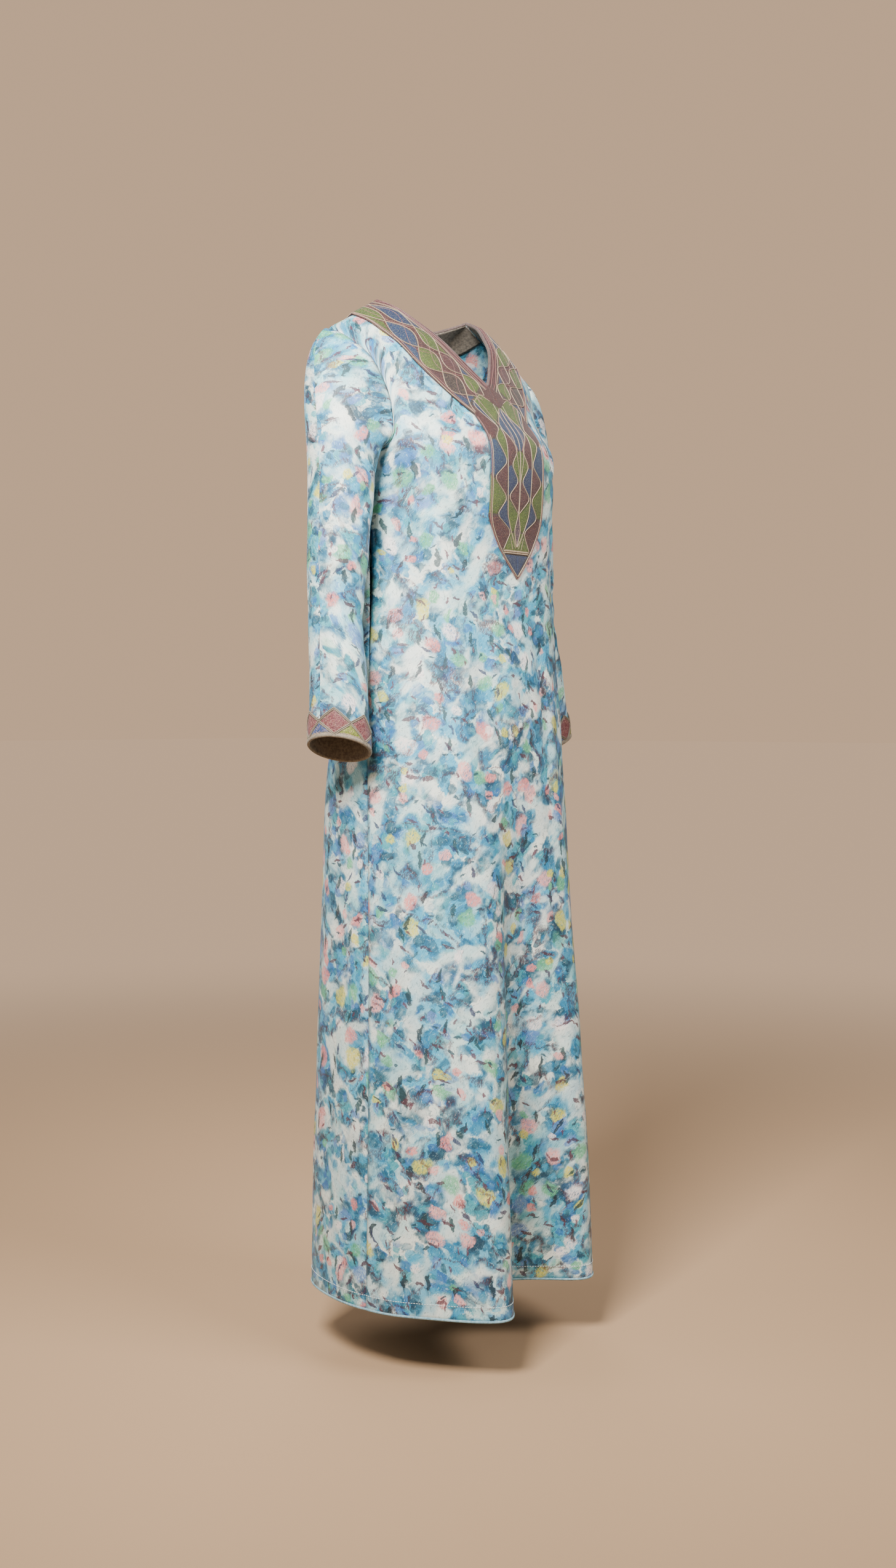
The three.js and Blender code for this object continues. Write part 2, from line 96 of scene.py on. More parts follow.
# %% The air
# What the camera sees behind is a warm paper tone, and what lights the cloth is nearly neutral.
BACKDROP = (0.66, 0.445, 0.285, 1)
AIR_LIGHT, AIR_STRENGTH = (0.80, 0.77, 0.73, 1), 0.21
world = bpy.data.worlds.new("studio_air")
world.use_nodes = True
air = world.node_tree
light = air.nodes["Background"]
light.inputs["Color"].default_value = AIR_LIGHT
light.inputs["Strength"].default_value = AIR_STRENGTH
seen = air.nodes.new("ShaderNodeBackground")
seen.inputs["Color"].default_value = BACKDROP
which = air.nodes.new("ShaderNodeLightPath")
either = air.nodes.new("ShaderNodeMixShader")
air.links.new(which.outputs["Is Camera Ray"], either.inputs[0])
air.links.new(light.outputs[0], either.inputs[1])
air.links.new(seen.outputs[0], either.inputs[2])
air.links.new(either.outputs[0], air.nodes["World Output"].inputs["Surface"])
bpy.context.scene.world = world
print("air:", AIR_STRENGTH, "of a nearly neutral white")

# %% [markdown]
# ## Helpers for surfaces
# Every cloth piece here is a function of two parameters on a grid. numpy works out all its
# points at once, which is quick, and it keeps the shape readable as a formula.


# %% Curves and tables
def lerp(a, b, t):
    """The point a share t of the way from a to b."""
    return a + (b - a) * t


def smooth(t):
    """0 to 1 with a soft start and end: 3t^2 - 2t^3, with t kept inside 0 to 1."""
    t = np.clip(t, 0, 1)
    return t * t * (3 - 2 * t)


def bell(distance, breadth):
    """A Gauss curve: 1 at distance 0, and e^-1/2 at one breadth."""
    return np.exp(-0.5 * (distance / breadth) ** 2)


def row_at(table, z):
    """Each column of a table at height z, by a cubic Hermite curve whose slope at a row is that
    from the row before it to the row after it."""
    heights = table[:, 0]
    z = np.asarray(z, float)
    i = np.clip(np.searchsorted(-heights, -z) - 1, 0, len(heights) - 2)
    a, b = table[i], table[i + 1]
    before, after = table[np.maximum(i - 1, 0)], table[np.minimum(i + 2, len(heights) - 1)]
    span = b[..., :1] - a[..., :1]
    t = np.clip((z[..., None] - a[..., :1]) / span, 0, 1)
    slope_a = (b - before) / (b[..., :1] - before[..., :1])
    slope_b = (after - a) / (after[..., :1] - a[..., :1])
    row = ((2 * t**3 - 3 * t**2 + 1) * a + (t**3 - 2 * t**2 + t) * span * slope_a
           + (3 * t**2 - 2 * t**3) * b + (t**3 - t**2) * span * slope_b)
    return np.moveaxis(row, -1, 0)


def unit(vectors):
    """Vectors of length 1."""
    return vectors / np.maximum(np.linalg.norm(vectors, axis=-1, keepdims=True), 1e-9)


def arc_length(line):
    """The length run along a line of points, at each of them."""
    return np.append(0, np.cumsum(np.linalg.norm(np.diff(line, axis=0), axis=1)))


def at_lengths(lengths, arc, values):
    """Each column of values, which are given at the lengths of arc, read off at other lengths."""
    return np.stack([np.interp(lengths, arc, column) for column in values.T], 1)


def come_round(line):
    """A closed line with its first point at its end as well."""
    return np.concatenate([line, line[:1]])


# %% Grids into meshes
def grid_normals(points, closed=False):
    """The cross product of the two directions of a grid (rows, columns, 3) at each point."""
    along = np.gradient(points, axis=0)
    if closed:
        across = np.roll(points, -1, 1) - np.roll(points, 1, 1)
    else:
        across = np.gradient(points, axis=1)
    return unit(np.cross(across, along))


def grid_cells(rows, columns, closed=False):
    """The four corner numbers of each cell, row by row. A closed grid joins its last column to
    its first."""
    r, c = np.mgrid[0 : rows - 1, 0 : columns if closed else columns - 1]
    d = (c + 1) % columns
    corners = [r * columns + c, r * columns + d, (r + 1) * columns + d, (r + 1) * columns + c]
    return np.stack(corners, -1).reshape(-1, 4)


def make_mesh(name, points, faces, uv=None, threads=None):
    """An object from points in millimetres. uv holds one pair for each face corner, in metres
    of flat cloth, and threads one colour for each point."""
    mesh = bpy.data.meshes.new(name)
    faces = faces if isinstance(faces, list) else faces.tolist()
    mesh.from_pydata((points.reshape(-1, 3) * MM).tolist(), [], faces)
    mesh.polygons.foreach_set("use_smooth", np.ones(len(mesh.polygons), bool))
    if uv is not None:
        layer = mesh.uv_layers.new(name="flat")
        layer.data.foreach_set("uv", np.ascontiguousarray(uv, np.float32).ravel())
    if threads is not None:
        layer = mesh.color_attributes.new("threads", "FLOAT_COLOR", "POINT")
        layer.data.foreach_set("color", np.ascontiguousarray(threads, np.float32).ravel())
    mesh.validate()
    obj = bpy.data.objects.new(name, mesh)
    bpy.context.collection.objects.link(obj)
    return obj


# %% Flat coordinates
def flat_uv(points, closed=False, shift=(0, 0), level_end=False):
    """Flat coordinates of a grid: the length along each row from its middle column, and the
    length along each column from the first row (or the last, if that end is level), in metres.
    It returns one pair for each corner of each cell."""
    ring = np.concatenate([points, points[:, :1]], 1) if closed else points
    steps = np.linalg.norm(np.diff(ring, axis=1), axis=2)
    across = np.concatenate([np.zeros((len(ring), 1)), np.cumsum(steps, 1)], 1)
    across = across - across[:, across.shape[1] // 2][:, None]
    rises = np.linalg.norm(np.diff(ring, axis=0), axis=2)
    up = np.concatenate([np.zeros((1, ring.shape[1])), np.cumsum(rises, 0)], 0)
    up = up - up[-1:] if level_end else up
    uv = (np.stack([across, up], -1) * MM + np.array(shift)).reshape(-1, 2)
    return uv[grid_cells(ring.shape[0], ring.shape[1])].reshape(-1, 2)


def turned(cells, uv):
    """Cells and flat coordinates with each cell's corners in the other order, so that the
    cells face the other way."""
    return cells[:, ::-1], uv.reshape(-1, 4, 2)[:, ::-1].reshape(-1, 2)


# %% Walls
def walled(obj, thickness):
    """The mesh is the outer face, and Solidify adds the inner one and the rim between them."""
    wall = obj.modifiers.new("wall", "SOLIDIFY")
    wall.thickness, wall.offset = thickness * MM, -1
    return obj


def cloth(name, points, thickness, uv, closed=False, flip=False, threads=None):
    """One grid as a thin closed shell."""
    cells = grid_cells(points.shape[0], points.shape[1], closed)
    if flip:
        cells, uv = turned(cells, uv)
    threads = None if threads is None else threads.reshape(-1, 4)
    return walled(make_mesh(name, points, cells, uv, threads), thickness)


def trim_on(piece, finish):
    """A piece that is sewn on: it rides on the body and takes its finish."""
    piece.data.materials.append(finish)
    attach(piece, BODY)
    return piece


def dress(piece, node, finish):
    """The piece rides on the body and takes its finish, and the CAD node that it stands for, if it
    has one, is hidden."""
    trim_on(piece, finish)
    if node:
        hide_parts(node)


# %% [markdown]
# ## The worn form
# A stack of ovals gives the body's shape under the cloth: each has a half width, a front, a
# back, the place of the side seam and how square it is. The same table was used for the CAD
# solids, so the fine cloth and the solids lie in the same place. Long folds that open towards
# the hem are added as bells, because cloth that hangs from the shoulders flares into cones.

# %% The body's table and its folds
HEM_Z, ARMPIT_Z = -1337.0, -215.0
NECK_HALF, NECK_DEPTH, BACK_NECK_DEPTH = 95.0, 114.0, 24.0
TIP_X, TIP_Z = 190.0, -50.0  # the shoulder tip
SHOULDER_SLOPE = TIP_Z / (TIP_X - NECK_HALF)
# height, half width, front, back, side seam's y, squareness
SECTIONS = np.array([
    (0, 240, 0, 0, 0, 2.3), (-12, 239, -27, 21, -1, 2.2), (-30, 235, -50, 42, -3, 2.15),
    (-55, 228, -76, 57, -6, 2.1), (-90, 210, -99, 67, -10, 2.0), (-123, 193, -119, 73, -14, 2.0),
    (-160, 177, -142, 77, -21, 2.05), (-190, 167, -164, 79, -28, 2.2),
    (-215, 159, -169, 80, -33, 2.45), (-265, 155, -168, 79, -35, 2.55),
    (-337, 155, -163, 78, -38, 2.5), (-420, 158, -168, 82, -42, 2.4),
    (-509, 163, -176, 91, -45, 2.3), (-595, 168, -182, 100, -48, 2.3),
    (-680, 172, -188, 107, -51, 2.3), (-853, 176, -197, 113, -56, 2.3),
    (-1025, 181, -208, 117, -60, 2.3), (-1200, 186, -215, 121, -62, 2.25),
    (-1337, 190, -219, 124, -63, 2.2)], float)
# x at the hem, x at the top, half breadth, reach at the hem, height where it starts, growth
FOLDS = {
    "front": [(-112, -84, 36, 40, -620, 1.3), (20, -22, 47, -96, -560, 1.2),
              (112, 80, 38, 26, -640, 1.4), (-168, -150, 15, -9, -740, 1.0),
              (176, 160, 14, -8, -700, 1.0)],
    "back": [(-138, -120, 26, 13, -560, 1.1), (-72, -60, 30, -24, -520, 1.2),
             (4, 6, 34, 17, -470, 1.2), (78, 58, 28, -22, -560, 1.1),
             (141, 124, 24, 12, -600, 1.2)]}
OUT = {"front": -1.0, "back": 1.0}  # the way out of the body, along y
print("sections:", len(SECTIONS), "folds:", {face: len(folds) for face, folds in FOLDS.items()})


# %% The form
def fold_out(face, x, z):
    """How far the long folds stand out: each is a bell across x whose height grows as a power
    of the share of the way down from its start to the hem."""
    out = 0
    for hem, top, breadth, reach, start, grow in FOLDS[face]:
        down = np.clip((start - z) / (start - HEM_Z), 0, 1)
        wide = breadth * lerp(0.75, 1, down)
        out = out + reach * down**grow * bell(x - lerp(top, hem, down), wide)
    return out


def form_y(face, x, z):
    """The y of the form: a superellipse between the side seam and the furthest point."""
    fade = np.clip((z - ARMPIT_Z) / (TIP_Z - ARMPIT_Z), 0, 1)
    droop = -SHOULDER_SLOPE * np.maximum(0, np.abs(x) - NECK_HALF)
    _, half, front, back, side, power = row_at(SECTIONS, np.minimum(0, z + droop * fade))
    across = np.clip(np.abs(x) / half, 0, 1)
    depth = (1 - across**power) ** (1 / power)
    oval = lerp(side, front if face == "front" else back, depth)
    return oval + OUT[face] * fold_out(face, x, z) * smooth(1.6 * depth)


chest_depth = form_y("back", 0, ARMPIT_Z) - form_y("front", 0, ARMPIT_Z)
print("chest depth:", round(float(chest_depth)), "mm")

# %% [markdown]
# ## Panels
# The front and the back are each cut in one piece, from the shoulder to the hem. Each becomes a
# grid with columns that run up the cloth and rows that run from side seam to side seam. Above
# the armpit the rows end on the armhole, and the columns spread to the neckline and to the
# shoulder seam, so that every sewn edge is an edge of the grid.

# %% Edges of the panels
NECK_SHARE = 0.46  # share of a panel's columns that ends on the neckline
_, ARMPIT_HALF, _, _, _, ARMPIT_ROUND = row_at(SECTIONS, ARMPIT_Z)


def top_edge(face, u):
    """The neckline's curve up to NECK_SHARE, and the sloping shoulder seam beyond it."""
    t = u / NECK_SHARE
    dip = NECK_DEPTH * (1 - t**1.1) if face == "front" else BACK_NECK_DEPTH * (1 - t**2)
    s = (u - NECK_SHARE) / (1 - NECK_SHARE)
    neck = u <= NECK_SHARE
    return np.where(neck, NECK_HALF * t, lerp(NECK_HALF, TIP_X, s)), np.where(neck, -dip, TIP_Z * s)


def armhole_x(v):
    """The armhole's x at share v of the way from the armpit to the shoulder tip."""
    return lerp(ARMPIT_HALF, TIP_X, v**2.2) - 9 * np.sin(np.pi * v)


fine = np.linspace(0, 1, 401)
armhole = np.stack([armhole_x(fine), form_y("front", armhole_x(fine), lerp(ARMPIT_Z, TIP_Z, fine)),
                    lerp(ARMPIT_Z, TIP_Z, fine)], -1)
armhole_arc = arc_length(armhole)
print("armhole:", round(armhole_arc[-1]), "mm from armpit to shoulder tip")


# %% Panels as grids
def panel(face, u, height):
    """A grid of points of the front or the back. u runs from -1 to 1 between the side seams.
    height runs from -1 at the hem to 0 at the armpit, and to 1 at the neck and the shoulder."""
    u, height = np.meshgrid(u, height)
    side, au = np.sign(u), np.abs(u)
    z_low = lerp(ARMPIT_Z, HEM_Z, -np.minimum(height, 0))
    _, half, _, _, seam_y, power = row_at(SECTIONS, z_low)
    x_low = half * np.sin(au * np.pi / 2) ** (2 / power)
    v = np.interp(np.maximum(height, 0) * armhole_arc[-1], armhole_arc, fine)
    top_x, top_z = top_edge(face, au)
    hollow = armhole_x(v) - lerp(ARMPIT_HALF, TIP_X, smooth(v))
    at_armpit = ARMPIT_HALF * np.sin(au * np.pi / 2) ** (2 / ARMPIT_ROUND)
    low = height <= 0
    x = side * np.where(low, x_low, lerp(at_armpit, top_x, smooth(v)) + hollow * au**4)
    z = np.where(low, z_low, lerp(ARMPIT_Z, top_z, v))
    y = np.where(low & (au == 1), seam_y, form_y(face, x, z))
    return np.stack([x, y, z], -1)


half_columns = np.concatenate([np.linspace(0, NECK_SHARE, 31), np.linspace(NECK_SHARE, 1, 37)[1:]])
U = np.concatenate([-half_columns[:0:-1], half_columns])
HEIGHTS = np.concatenate([np.linspace(-1, 0, 171), np.linspace(0, 1, 37)[1:]])
print("panel grid:", len(HEIGHTS), "x", len(U), "points")

# %% [markdown]
# ## Creases
# Cloth that hangs still shows soft troughs and ridges: drag lines from the armpit and the
# bust, bends beside the arms, small ripples between the big folds. A simulation would place
# them by chance. Here each one is a line with its own length, breadth and depth, put where such
# cloth pulls, and added along the surface's normal.


# %% Creases as lines
def creases(x, z, lines):
    """The sum of soft ridges and troughs. Each line runs from (x0, z0) to (x1, z1), bows
    sideways by a sine, has a bell across it and fades at its ends as a sine to the power 0.7."""
    total = np.zeros_like(x)
    for x0, z0, x1, z1, breadth, height, bow in lines:
        dx, dz = x1 - x0, z1 - z0
        length = math.hypot(dx, dz)
        along = ((x - x0) * dx + (z - z0) * dz) / length**2
        t = np.clip(along, 0, 1)
        aside = ((x - x0) * dz - (z - z0) * dx) / length - bow * np.sin(np.pi * t)
        past = np.where(along == t, 0, (along - t) * length)
        rise = np.sin(np.pi * np.clip(t, 0.02, 0.98)) ** 0.7
        total += height * rise * bell(aside, breadth * lerp(0.8, 1.15, t)) * bell(past, breadth)
    return total


# from x, z to x, z, half breadth, height (negative for a trough), bow
CREASES = {
    "front": [
        (-146, -225, -124, -600, 13, -11.0, 8), (-118, -290, -96, -640, 10, 4.0, 6),
        (-148, -330, -140, -620, 6, 2.4, -5), (-150, -225, -96, -330, 7, -3.2, 5),
        (-146, -215, -74, -262, 6, -2.2, -4), (-120, -150, -84, -260, 7, 2.0, 4),
        (140, -250, 116, -540, 9, -5.0, -8), (128, -310, 100, -650, 8, 2.8, -6),
        (150, -225, 98, -320, 7, -3.0, -5), (146, -215, 80, -256, 6, -2.0, 4),
        (120, -150, 86, -250, 7, 1.8, -4), (-60, -380, -84, -700, 10, -2.4, 4),
        (34, -400, 60, -760, 11, -2.6, -5), (-20, -430, -34, -640, 9, 2.0, 3),
        (70, -470, 84, -820, 10, 2.4, 4), (-52, -640, -66, -1180, 9, 2.6, -5),
        (-158, -700, -172, -1240, 7, 2.6, 3), (-140, -820, -150, -1300, 7, -2.8, -4),
        (-84, -900, -96, -1330, 8, -2.2, 4), (64, -820, 78, -1330, 9, -2.6, 5),
        (88, -700, 104, -1240, 8, 1.8, -4), (148, -760, 160, -1320, 8, -3.0, 4),
        (30, -700, 44, -1330, 8, 2.0, 3), (-18, -760, -16, -1330, 9, -2.2, 3),
        (-36, -1080, -44, -1345, 8, 2.4, 2), (132, -1020, 138, -1345, 7, 2.2, -2)],
    "back": [
        (-140, -240, -116, -520, 9, -4.6, 7), (140, -240, 120, -500, 9, -4.2, -7),
        (-120, -140, -60, -330, 10, -2.4, 8), (118, -140, 66, -350, 10, -2.2, -8),
        (-30, -110, -40, -420, 12, 1.6, 4), (40, -130, 34, -470, 12, 1.8, -4),
        (-60, -300, -90, -720, 10, 2.4, 5), (60, -300, 96, -760, 10, 2.2, -5),
        (-20, -420, -28, -900, 10, -2.4, 4), (26, -400, 40, -980, 10, -2.2, -4),
        (-104, -640, -110, -1300, 9, 2.6, 5), (108, -700, 118, -1320, 9, 2.4, -5),
        (-164, -660, -168, -1300, 7, -2.4, 4), (160, -700, 170, -1320, 7, -2.6, -4),
        (-46, -900, -40, -1345, 8, 2.0, 3), (36, -820, 52, -1345, 8, 2.2, -3),
        (-96, -1000, -92, -1345, 7, -2.0, 2), (84, -980, 92, -1345, 8, -1.8, 3),
        (4, -620, 6, -1345, 8, 1.6, 3), (-130, -1080, -136, -1345, 7, 2.0, 2)],
}
print("creases:", {face: len(lines) for face, lines in CREASES.items()})

# %% The cloth's relief
SEAM_DIP, SEAM_BREADTH = 1.3, 2.6
NO_SEAM = 99.0  # a distance at which a seam's groove is nothing


def relief(face, points):
    """How far the cloth stands off the form: the creases, with a faint ripple whose waves are
    60 to 90 mm apart across the cloth, all brought to nothing at the side seams."""
    x, z = points[..., 0], points[..., 2]
    wave = (0.5 * np.sin(x / 9.5 + z / 61 + 1.3 * np.sin(z / 83)) * np.sin(z / 97 + 1 + x / 70)
            + 0.4 * np.sin(x / 14 - z / 120 + 0.7) * np.sin(z / 53 + x / 40))
    calm = smooth((-200 - z) / 160)  # the embroidered chest is stiff and lies flatter
    side_x = np.interp(-z, [-TIP_Z, -ARMPIT_Z, -HEM_Z], [TIP_X, ARMPIT_HALF, SECTIONS[-1, 1]])
    edge = smooth((side_x - np.abs(x)) / 12)
    return creases(x, z, CREASES[face]) * edge + wave * (0.25 + 0.75 * calm) * edge


def face_normals(face, grid):
    """The normals of a panel's grid, out of the body."""
    return grid_normals(grid) * (1 if face == "front" else -1)


def draped(face, points):
    """The grid with its relief along the normal, and a shallow groove at every sewn edge: the
    two side edges, and the part of the top edge that is the shoulder seam."""
    normal = face_normals(face, points)
    points = points + normal * relief(face, points)[..., None]
    sides = [np.linalg.norm(points - points[:, end, None], axis=-1) for end in (0, -1)]
    from_shoulder = np.linalg.norm(points - points[-1:], axis=-1)
    shoulder = np.where(np.abs(U) >= NECK_SHARE, from_shoulder, NO_SEAM)
    dip = SEAM_DIP * (bell(np.minimum(*sides), SEAM_BREADTH) + bell(shoulder, SEAM_BREADTH))
    return points - normal * dip[..., None]


# %% Front and back
FLIP = {"front": False, "back": True}
CLOTH_WALL = 0.9
# the place on the printed cloth, in metres, that each piece is cut from
CUT_AT = {"front": (0.0, 0.0), "back": (0.91, 0.37), "right": (1.57, 0.71), "left": (0.43, 0.71)}
PANELS = {face: draped(face, panel(face, U, HEIGHTS)) for face in OUT}
panels = {}
for face, grid in PANELS.items():
    uv = flat_uv(grid, shift=CUT_AT[face])
    panels[face] = cloth(f"{face}_cloth", grid, CLOTH_WALL, flip=FLIP[face], uv=uv)
    print(face, "cloth:", len(panels[face].data.polygons), "cells")


# %% [markdown]
# ## Sleeves
# A sleeve is a tube. Its head starts on the armhole, which faces sideways, and swings down to
# a level ring, so its lines are Bezier curves that leave the shoulder outwards and arrive from
# above. Below it the tube follows a table of rings, with a few creases at the elbow.

# %% The sleeve's rings
# height, centre x, centre y, half size across, half size front to back
RINGS = np.array([
    (-262, 204, -36, 40, 46.5), (-330, 209, -36, 37.5, 43.5), (-400, 214, -38, 34.5, 40),
    (-460, 218, -42, 33.5, 39), (-530, 220, -46, 34.5, 40.5), (-601, 223, -50, 36, 42.5)], float)
RING_TOP, WRIST_Z, ELBOW_Z = -262.0, -601.0, -415.0
SLEEVES = {"right": (-1, 0, 0), "left": (1, 20, 9)}  # side, set back at the top and at the wrist
ELBOW_FOLDS = ((-392, 3.5, 11), (-428, 5, 12), (-462, 3, 12))  # height, depth, half breadth
RIM_SIDE, RIM_FRONT = 0.44, 0.13  # how steeply the wrist's rim slopes, sideways and forwards


def ring_point(name, z, turn, flat=False):
    """A point of the tube: x is the centre plus the half size times the turn's cosine, y the
    centre minus the other half size times its sine. The wrist's rim slopes."""
    sign, top_back, wrist_back = SLEEVES[name]
    _, x, y, across, fore = row_at(RINGS, z)
    y = y + lerp(top_back, wrist_back, np.clip((RING_TOP - z) / (RING_TOP - WRIST_Z), 0, 1))
    cosine, sine = np.cos(turn), np.sin(turn)
    dip = sum(deep * bell(z - at - 10 * cosine, wide) for at, deep, wide in ELBOW_FOLDS)
    dip = dip * (0.5 + 0.5 * sine)
    across, fore = across - dip, fore - dip
    drop = 0
    if not flat:
        slope = RIM_SIDE * across * cosine + RIM_FRONT * fore * sine
        drop = smooth((ELBOW_Z - z) / (ELBOW_Z - WRIST_Z)) * slope
    return np.stack([sign * (x + across * cosine), y - fore * sine, z + drop + 0 * turn], -1)


# %% The sleeve's head
HEAD_STEPS, ARM_STEPS = 22, 76
# how far the head's lines aim outwards, downwards and back up, at the underarm and the shoulder
AIM_OUT, AIM_DOWN, AIM_UP = (18, 46), (-2, -14), (18, 150)


def armhole_loop(sign):
    """Down the front's side edge from the shoulder tip, and up the back's."""
    edge = np.linspace(1, 0, 49)
    front = panel("front", np.array([float(sign)]), edge)[:, 0]
    back = panel("back", np.array([float(sign)]), edge[::-1])[:, 0]
    return np.concatenate([front, back[1:-1]])


def sleeve_head(name):
    """Rows of cubic Bezier curves from the armhole to the top ring, with each one's turn and
    the share of the way down."""
    sign = SLEEVES[name][0]
    loop = armhole_loop(sign)
    arc = arc_length(come_round(loop))
    low = len(loop) // 2
    turn = np.interp(arc[:-1], [0, arc[low], arc[-1]], [0, math.pi, 2 * math.pi])
    over = (0.5 + 0.5 * np.cos(turn))[:, None]  # 1 at the shoulder and 0 at the underarm
    start = ring_point(name, np.full_like(turn, RING_TOP), turn, flat=True)
    a = loop + np.concatenate([sign * lerp(*AIM_OUT, over), 0 * over, lerp(*AIM_DOWN, over)], 1)
    b = start + np.concatenate([0 * over, 0 * over, 0.62 * lerp(*AIM_UP, over)], 1)
    t = np.linspace(0, 1, HEAD_STEPS + 1)[:-1, None, None]
    rows = (1 - t) ** 3 * loop + 3 * t * (1 - t) ** 2 * a + 3 * t**2 * (1 - t) * b + t**3 * start
    return rows, turn, t[:, :, 0]


# %% The sleeve's creases
# turn, height, turn, height, half breadth, height of the crease (negative for a trough), bow
SLEEVE_CREASES = {
    "right": [
        (1.9, -262, 1.1, -330, 6, -2.6, 3), (2.4, -300, 1.5, -372, 5, -2.2, -3),
        (0.6, -300, 0.9, -470, 6, 1.8, 3), (1.2, -372, 2.2, -398, 5, 2.0, 3),
        (0.7, -410, 1.9, -440, 5, -2.6, -3), (1.1, -450, 2.0, -474, 5, 2.0, 2),
        (2.5, -420, 3.6, -380, 5, -1.8, 2), (1.5, -500, 1.3, -560, 6, -1.6, 2),
        (4.4, -300, 4.9, -440, 8, -1.8, 4), (5.3, -330, 5.1, -500, 8, 1.6, -3),
        (0.3, -480, 0.5, -570, 7, -1.5, 2)],
    "left": [
        (1.8, -270, 1.0, -345, 6, -2.4, -3), (2.3, -310, 1.4, -380, 5, -2.0, 3),
        (0.5, -310, 0.8, -480, 7, 1.6, 3), (1.3, -380, 2.3, -404, 5, 1.8, -3),
        (0.8, -418, 2.0, -446, 5, -2.4, 3), (1.2, -458, 2.1, -480, 5, 1.8, 2),
        (4.5, -310, 5.0, -450, 8, -1.7, -4), (5.4, -340, 5.2, -510, 8, 1.5, 3),
        (3.0, -420, 3.9, -370, 5, -1.6, 2), (0.2, -490, 0.5, -575, 7, -1.4, 2)]}
ARM_RADIUS = 40  # a turn times this is a distance round the sleeve, in millimetres
HEAD_HEIGHT = 190  # the head's rows count as this high for the creases


def sleeve_relief(name, turns, height):
    """How far a sleeve's cloth stands off the tube: its creases and a faint ripple, which both
    fade above the cuff."""
    around = turns * ARM_RADIUS
    lines = [(t0 * ARM_RADIUS, z0, t1 * ARM_RADIUS, z1, *rest)
             for t0, z0, t1, z1, *rest in SLEEVE_CREASES[name]]
    out = creases(around, height, lines) * smooth((height - WRIST_Z - 34) / 30)
    ripple = 0.4 * np.sin(around / 11 + height / 37) * np.sin(height / 29)
    return out + ripple * smooth((height - WRIST_Z - 40) / 40)


# %% Sleeve grids
def sleeve(name):
    """Rows of points from the armhole to the wrist, with relief and a groove at the armhole.
    On the way down each column's turn evens out."""
    head, turn, t = sleeve_head(name)
    s = np.linspace(0, 1, ARM_STEPS + 1)[:, None]
    turns = lerp(turn[None], (2 * math.pi * np.arange(len(turn)) / len(turn))[None], s)
    level = lerp(RING_TOP, WRIST_Z, s) + 0 * turns
    points = np.concatenate([head, ring_point(name, level, turns)])
    normal = grid_normals(points, closed=True) * (1 if SLEEVES[name][0] > 0 else -1)
    shape = head.shape[:2]
    turns = np.concatenate([np.broadcast_to(turn, shape), turns])
    height = np.concatenate([np.broadcast_to(RING_TOP + HEAD_HEIGHT * (1 - t), shape), level])
    from_seam = np.linalg.norm(points - points[:1], axis=-1)
    out = sleeve_relief(name, turns, height) * smooth(from_seam / 25)
    out -= 1.2 * bell(from_seam, SEAM_BREADTH)
    return points + normal * out[..., None]


SLEEVE_GRIDS = {name: sleeve(name) for name in SLEEVES}
sleeves = {}
for name, grid in SLEEVE_GRIDS.items():
    uv = flat_uv(grid, closed=True, shift=CUT_AT[name], level_end=True)
    flip = SLEEVES[name][0] < 0
    sleeves[name] = cloth(f"sleeve_{name}_cloth", grid, CLOTH_WALL, closed=True, flip=flip, uv=uv)
    print("sleeve", name, ":", len(sleeves[name].data.polygons), "cells")


# %% [markdown]
# ## Finishes
# A finish is a node tree, and it is easier to read as sums. The class below wraps a socket, so
# that a * b + 1 adds the Math nodes. Colours are blended by Mix nodes, and any other node
# comes from one method.


# %% Sockets in sums
class Wire:
    """A socket that can stand in a sum. Each operator adds one Math node."""

    def __init__(self, finish, socket):
        self.finish, self.socket = finish, socket

    def math(self, operation, *values):
        return self.finish.node("ShaderNodeMath", {"operation": operation}, dict(enumerate(values)))

    def __add__(self, other):
        return self.math("ADD", self, other)

    def __sub__(self, other):
        return self.math("SUBTRACT", self, other)

    def __rsub__(self, other):
        return self.math("SUBTRACT", other, self)

    def __mul__(self, other):
        return self.math("MULTIPLY", self, other)

    def __truediv__(self, other):
        return self.math("DIVIDE", self, other)

    def __pow__(self, other):
        return self.math("POWER", self, other)

    __radd__, __rmul__ = __add__, __mul__

    def step(self, low, high):
        """0 below low and 1 above high, softly; the other way round if low is the larger."""
        a, b, start, end = (low, high, 0.0, 1.0) if low < high else (high, low, 1.0, 0.0)
        settings = {"interpolation_type": "SMOOTHSTEP"}
        spans = {"Value": self, "From Min": a, "From Max": b, "To Min": start, "To Max": end}
        return self.finish.node("ShaderNodeMapRange", settings, spans)


# %% Colours
def colour(code):
    """A screen colour such as c9dde0 as the linear light that shaders use."""
    channels = [int(code[i : i + 2], 16) / 255 for i in (0, 2, 4)]
    linear = (c / 12.92 if c <= 0.04045 else ((c + 0.055) / 1.055) ** 2.4 for c in channels)
    return *linear, 1.0


print("c9dde0 is", [round(c, 2) for c in colour("c9dde0")])


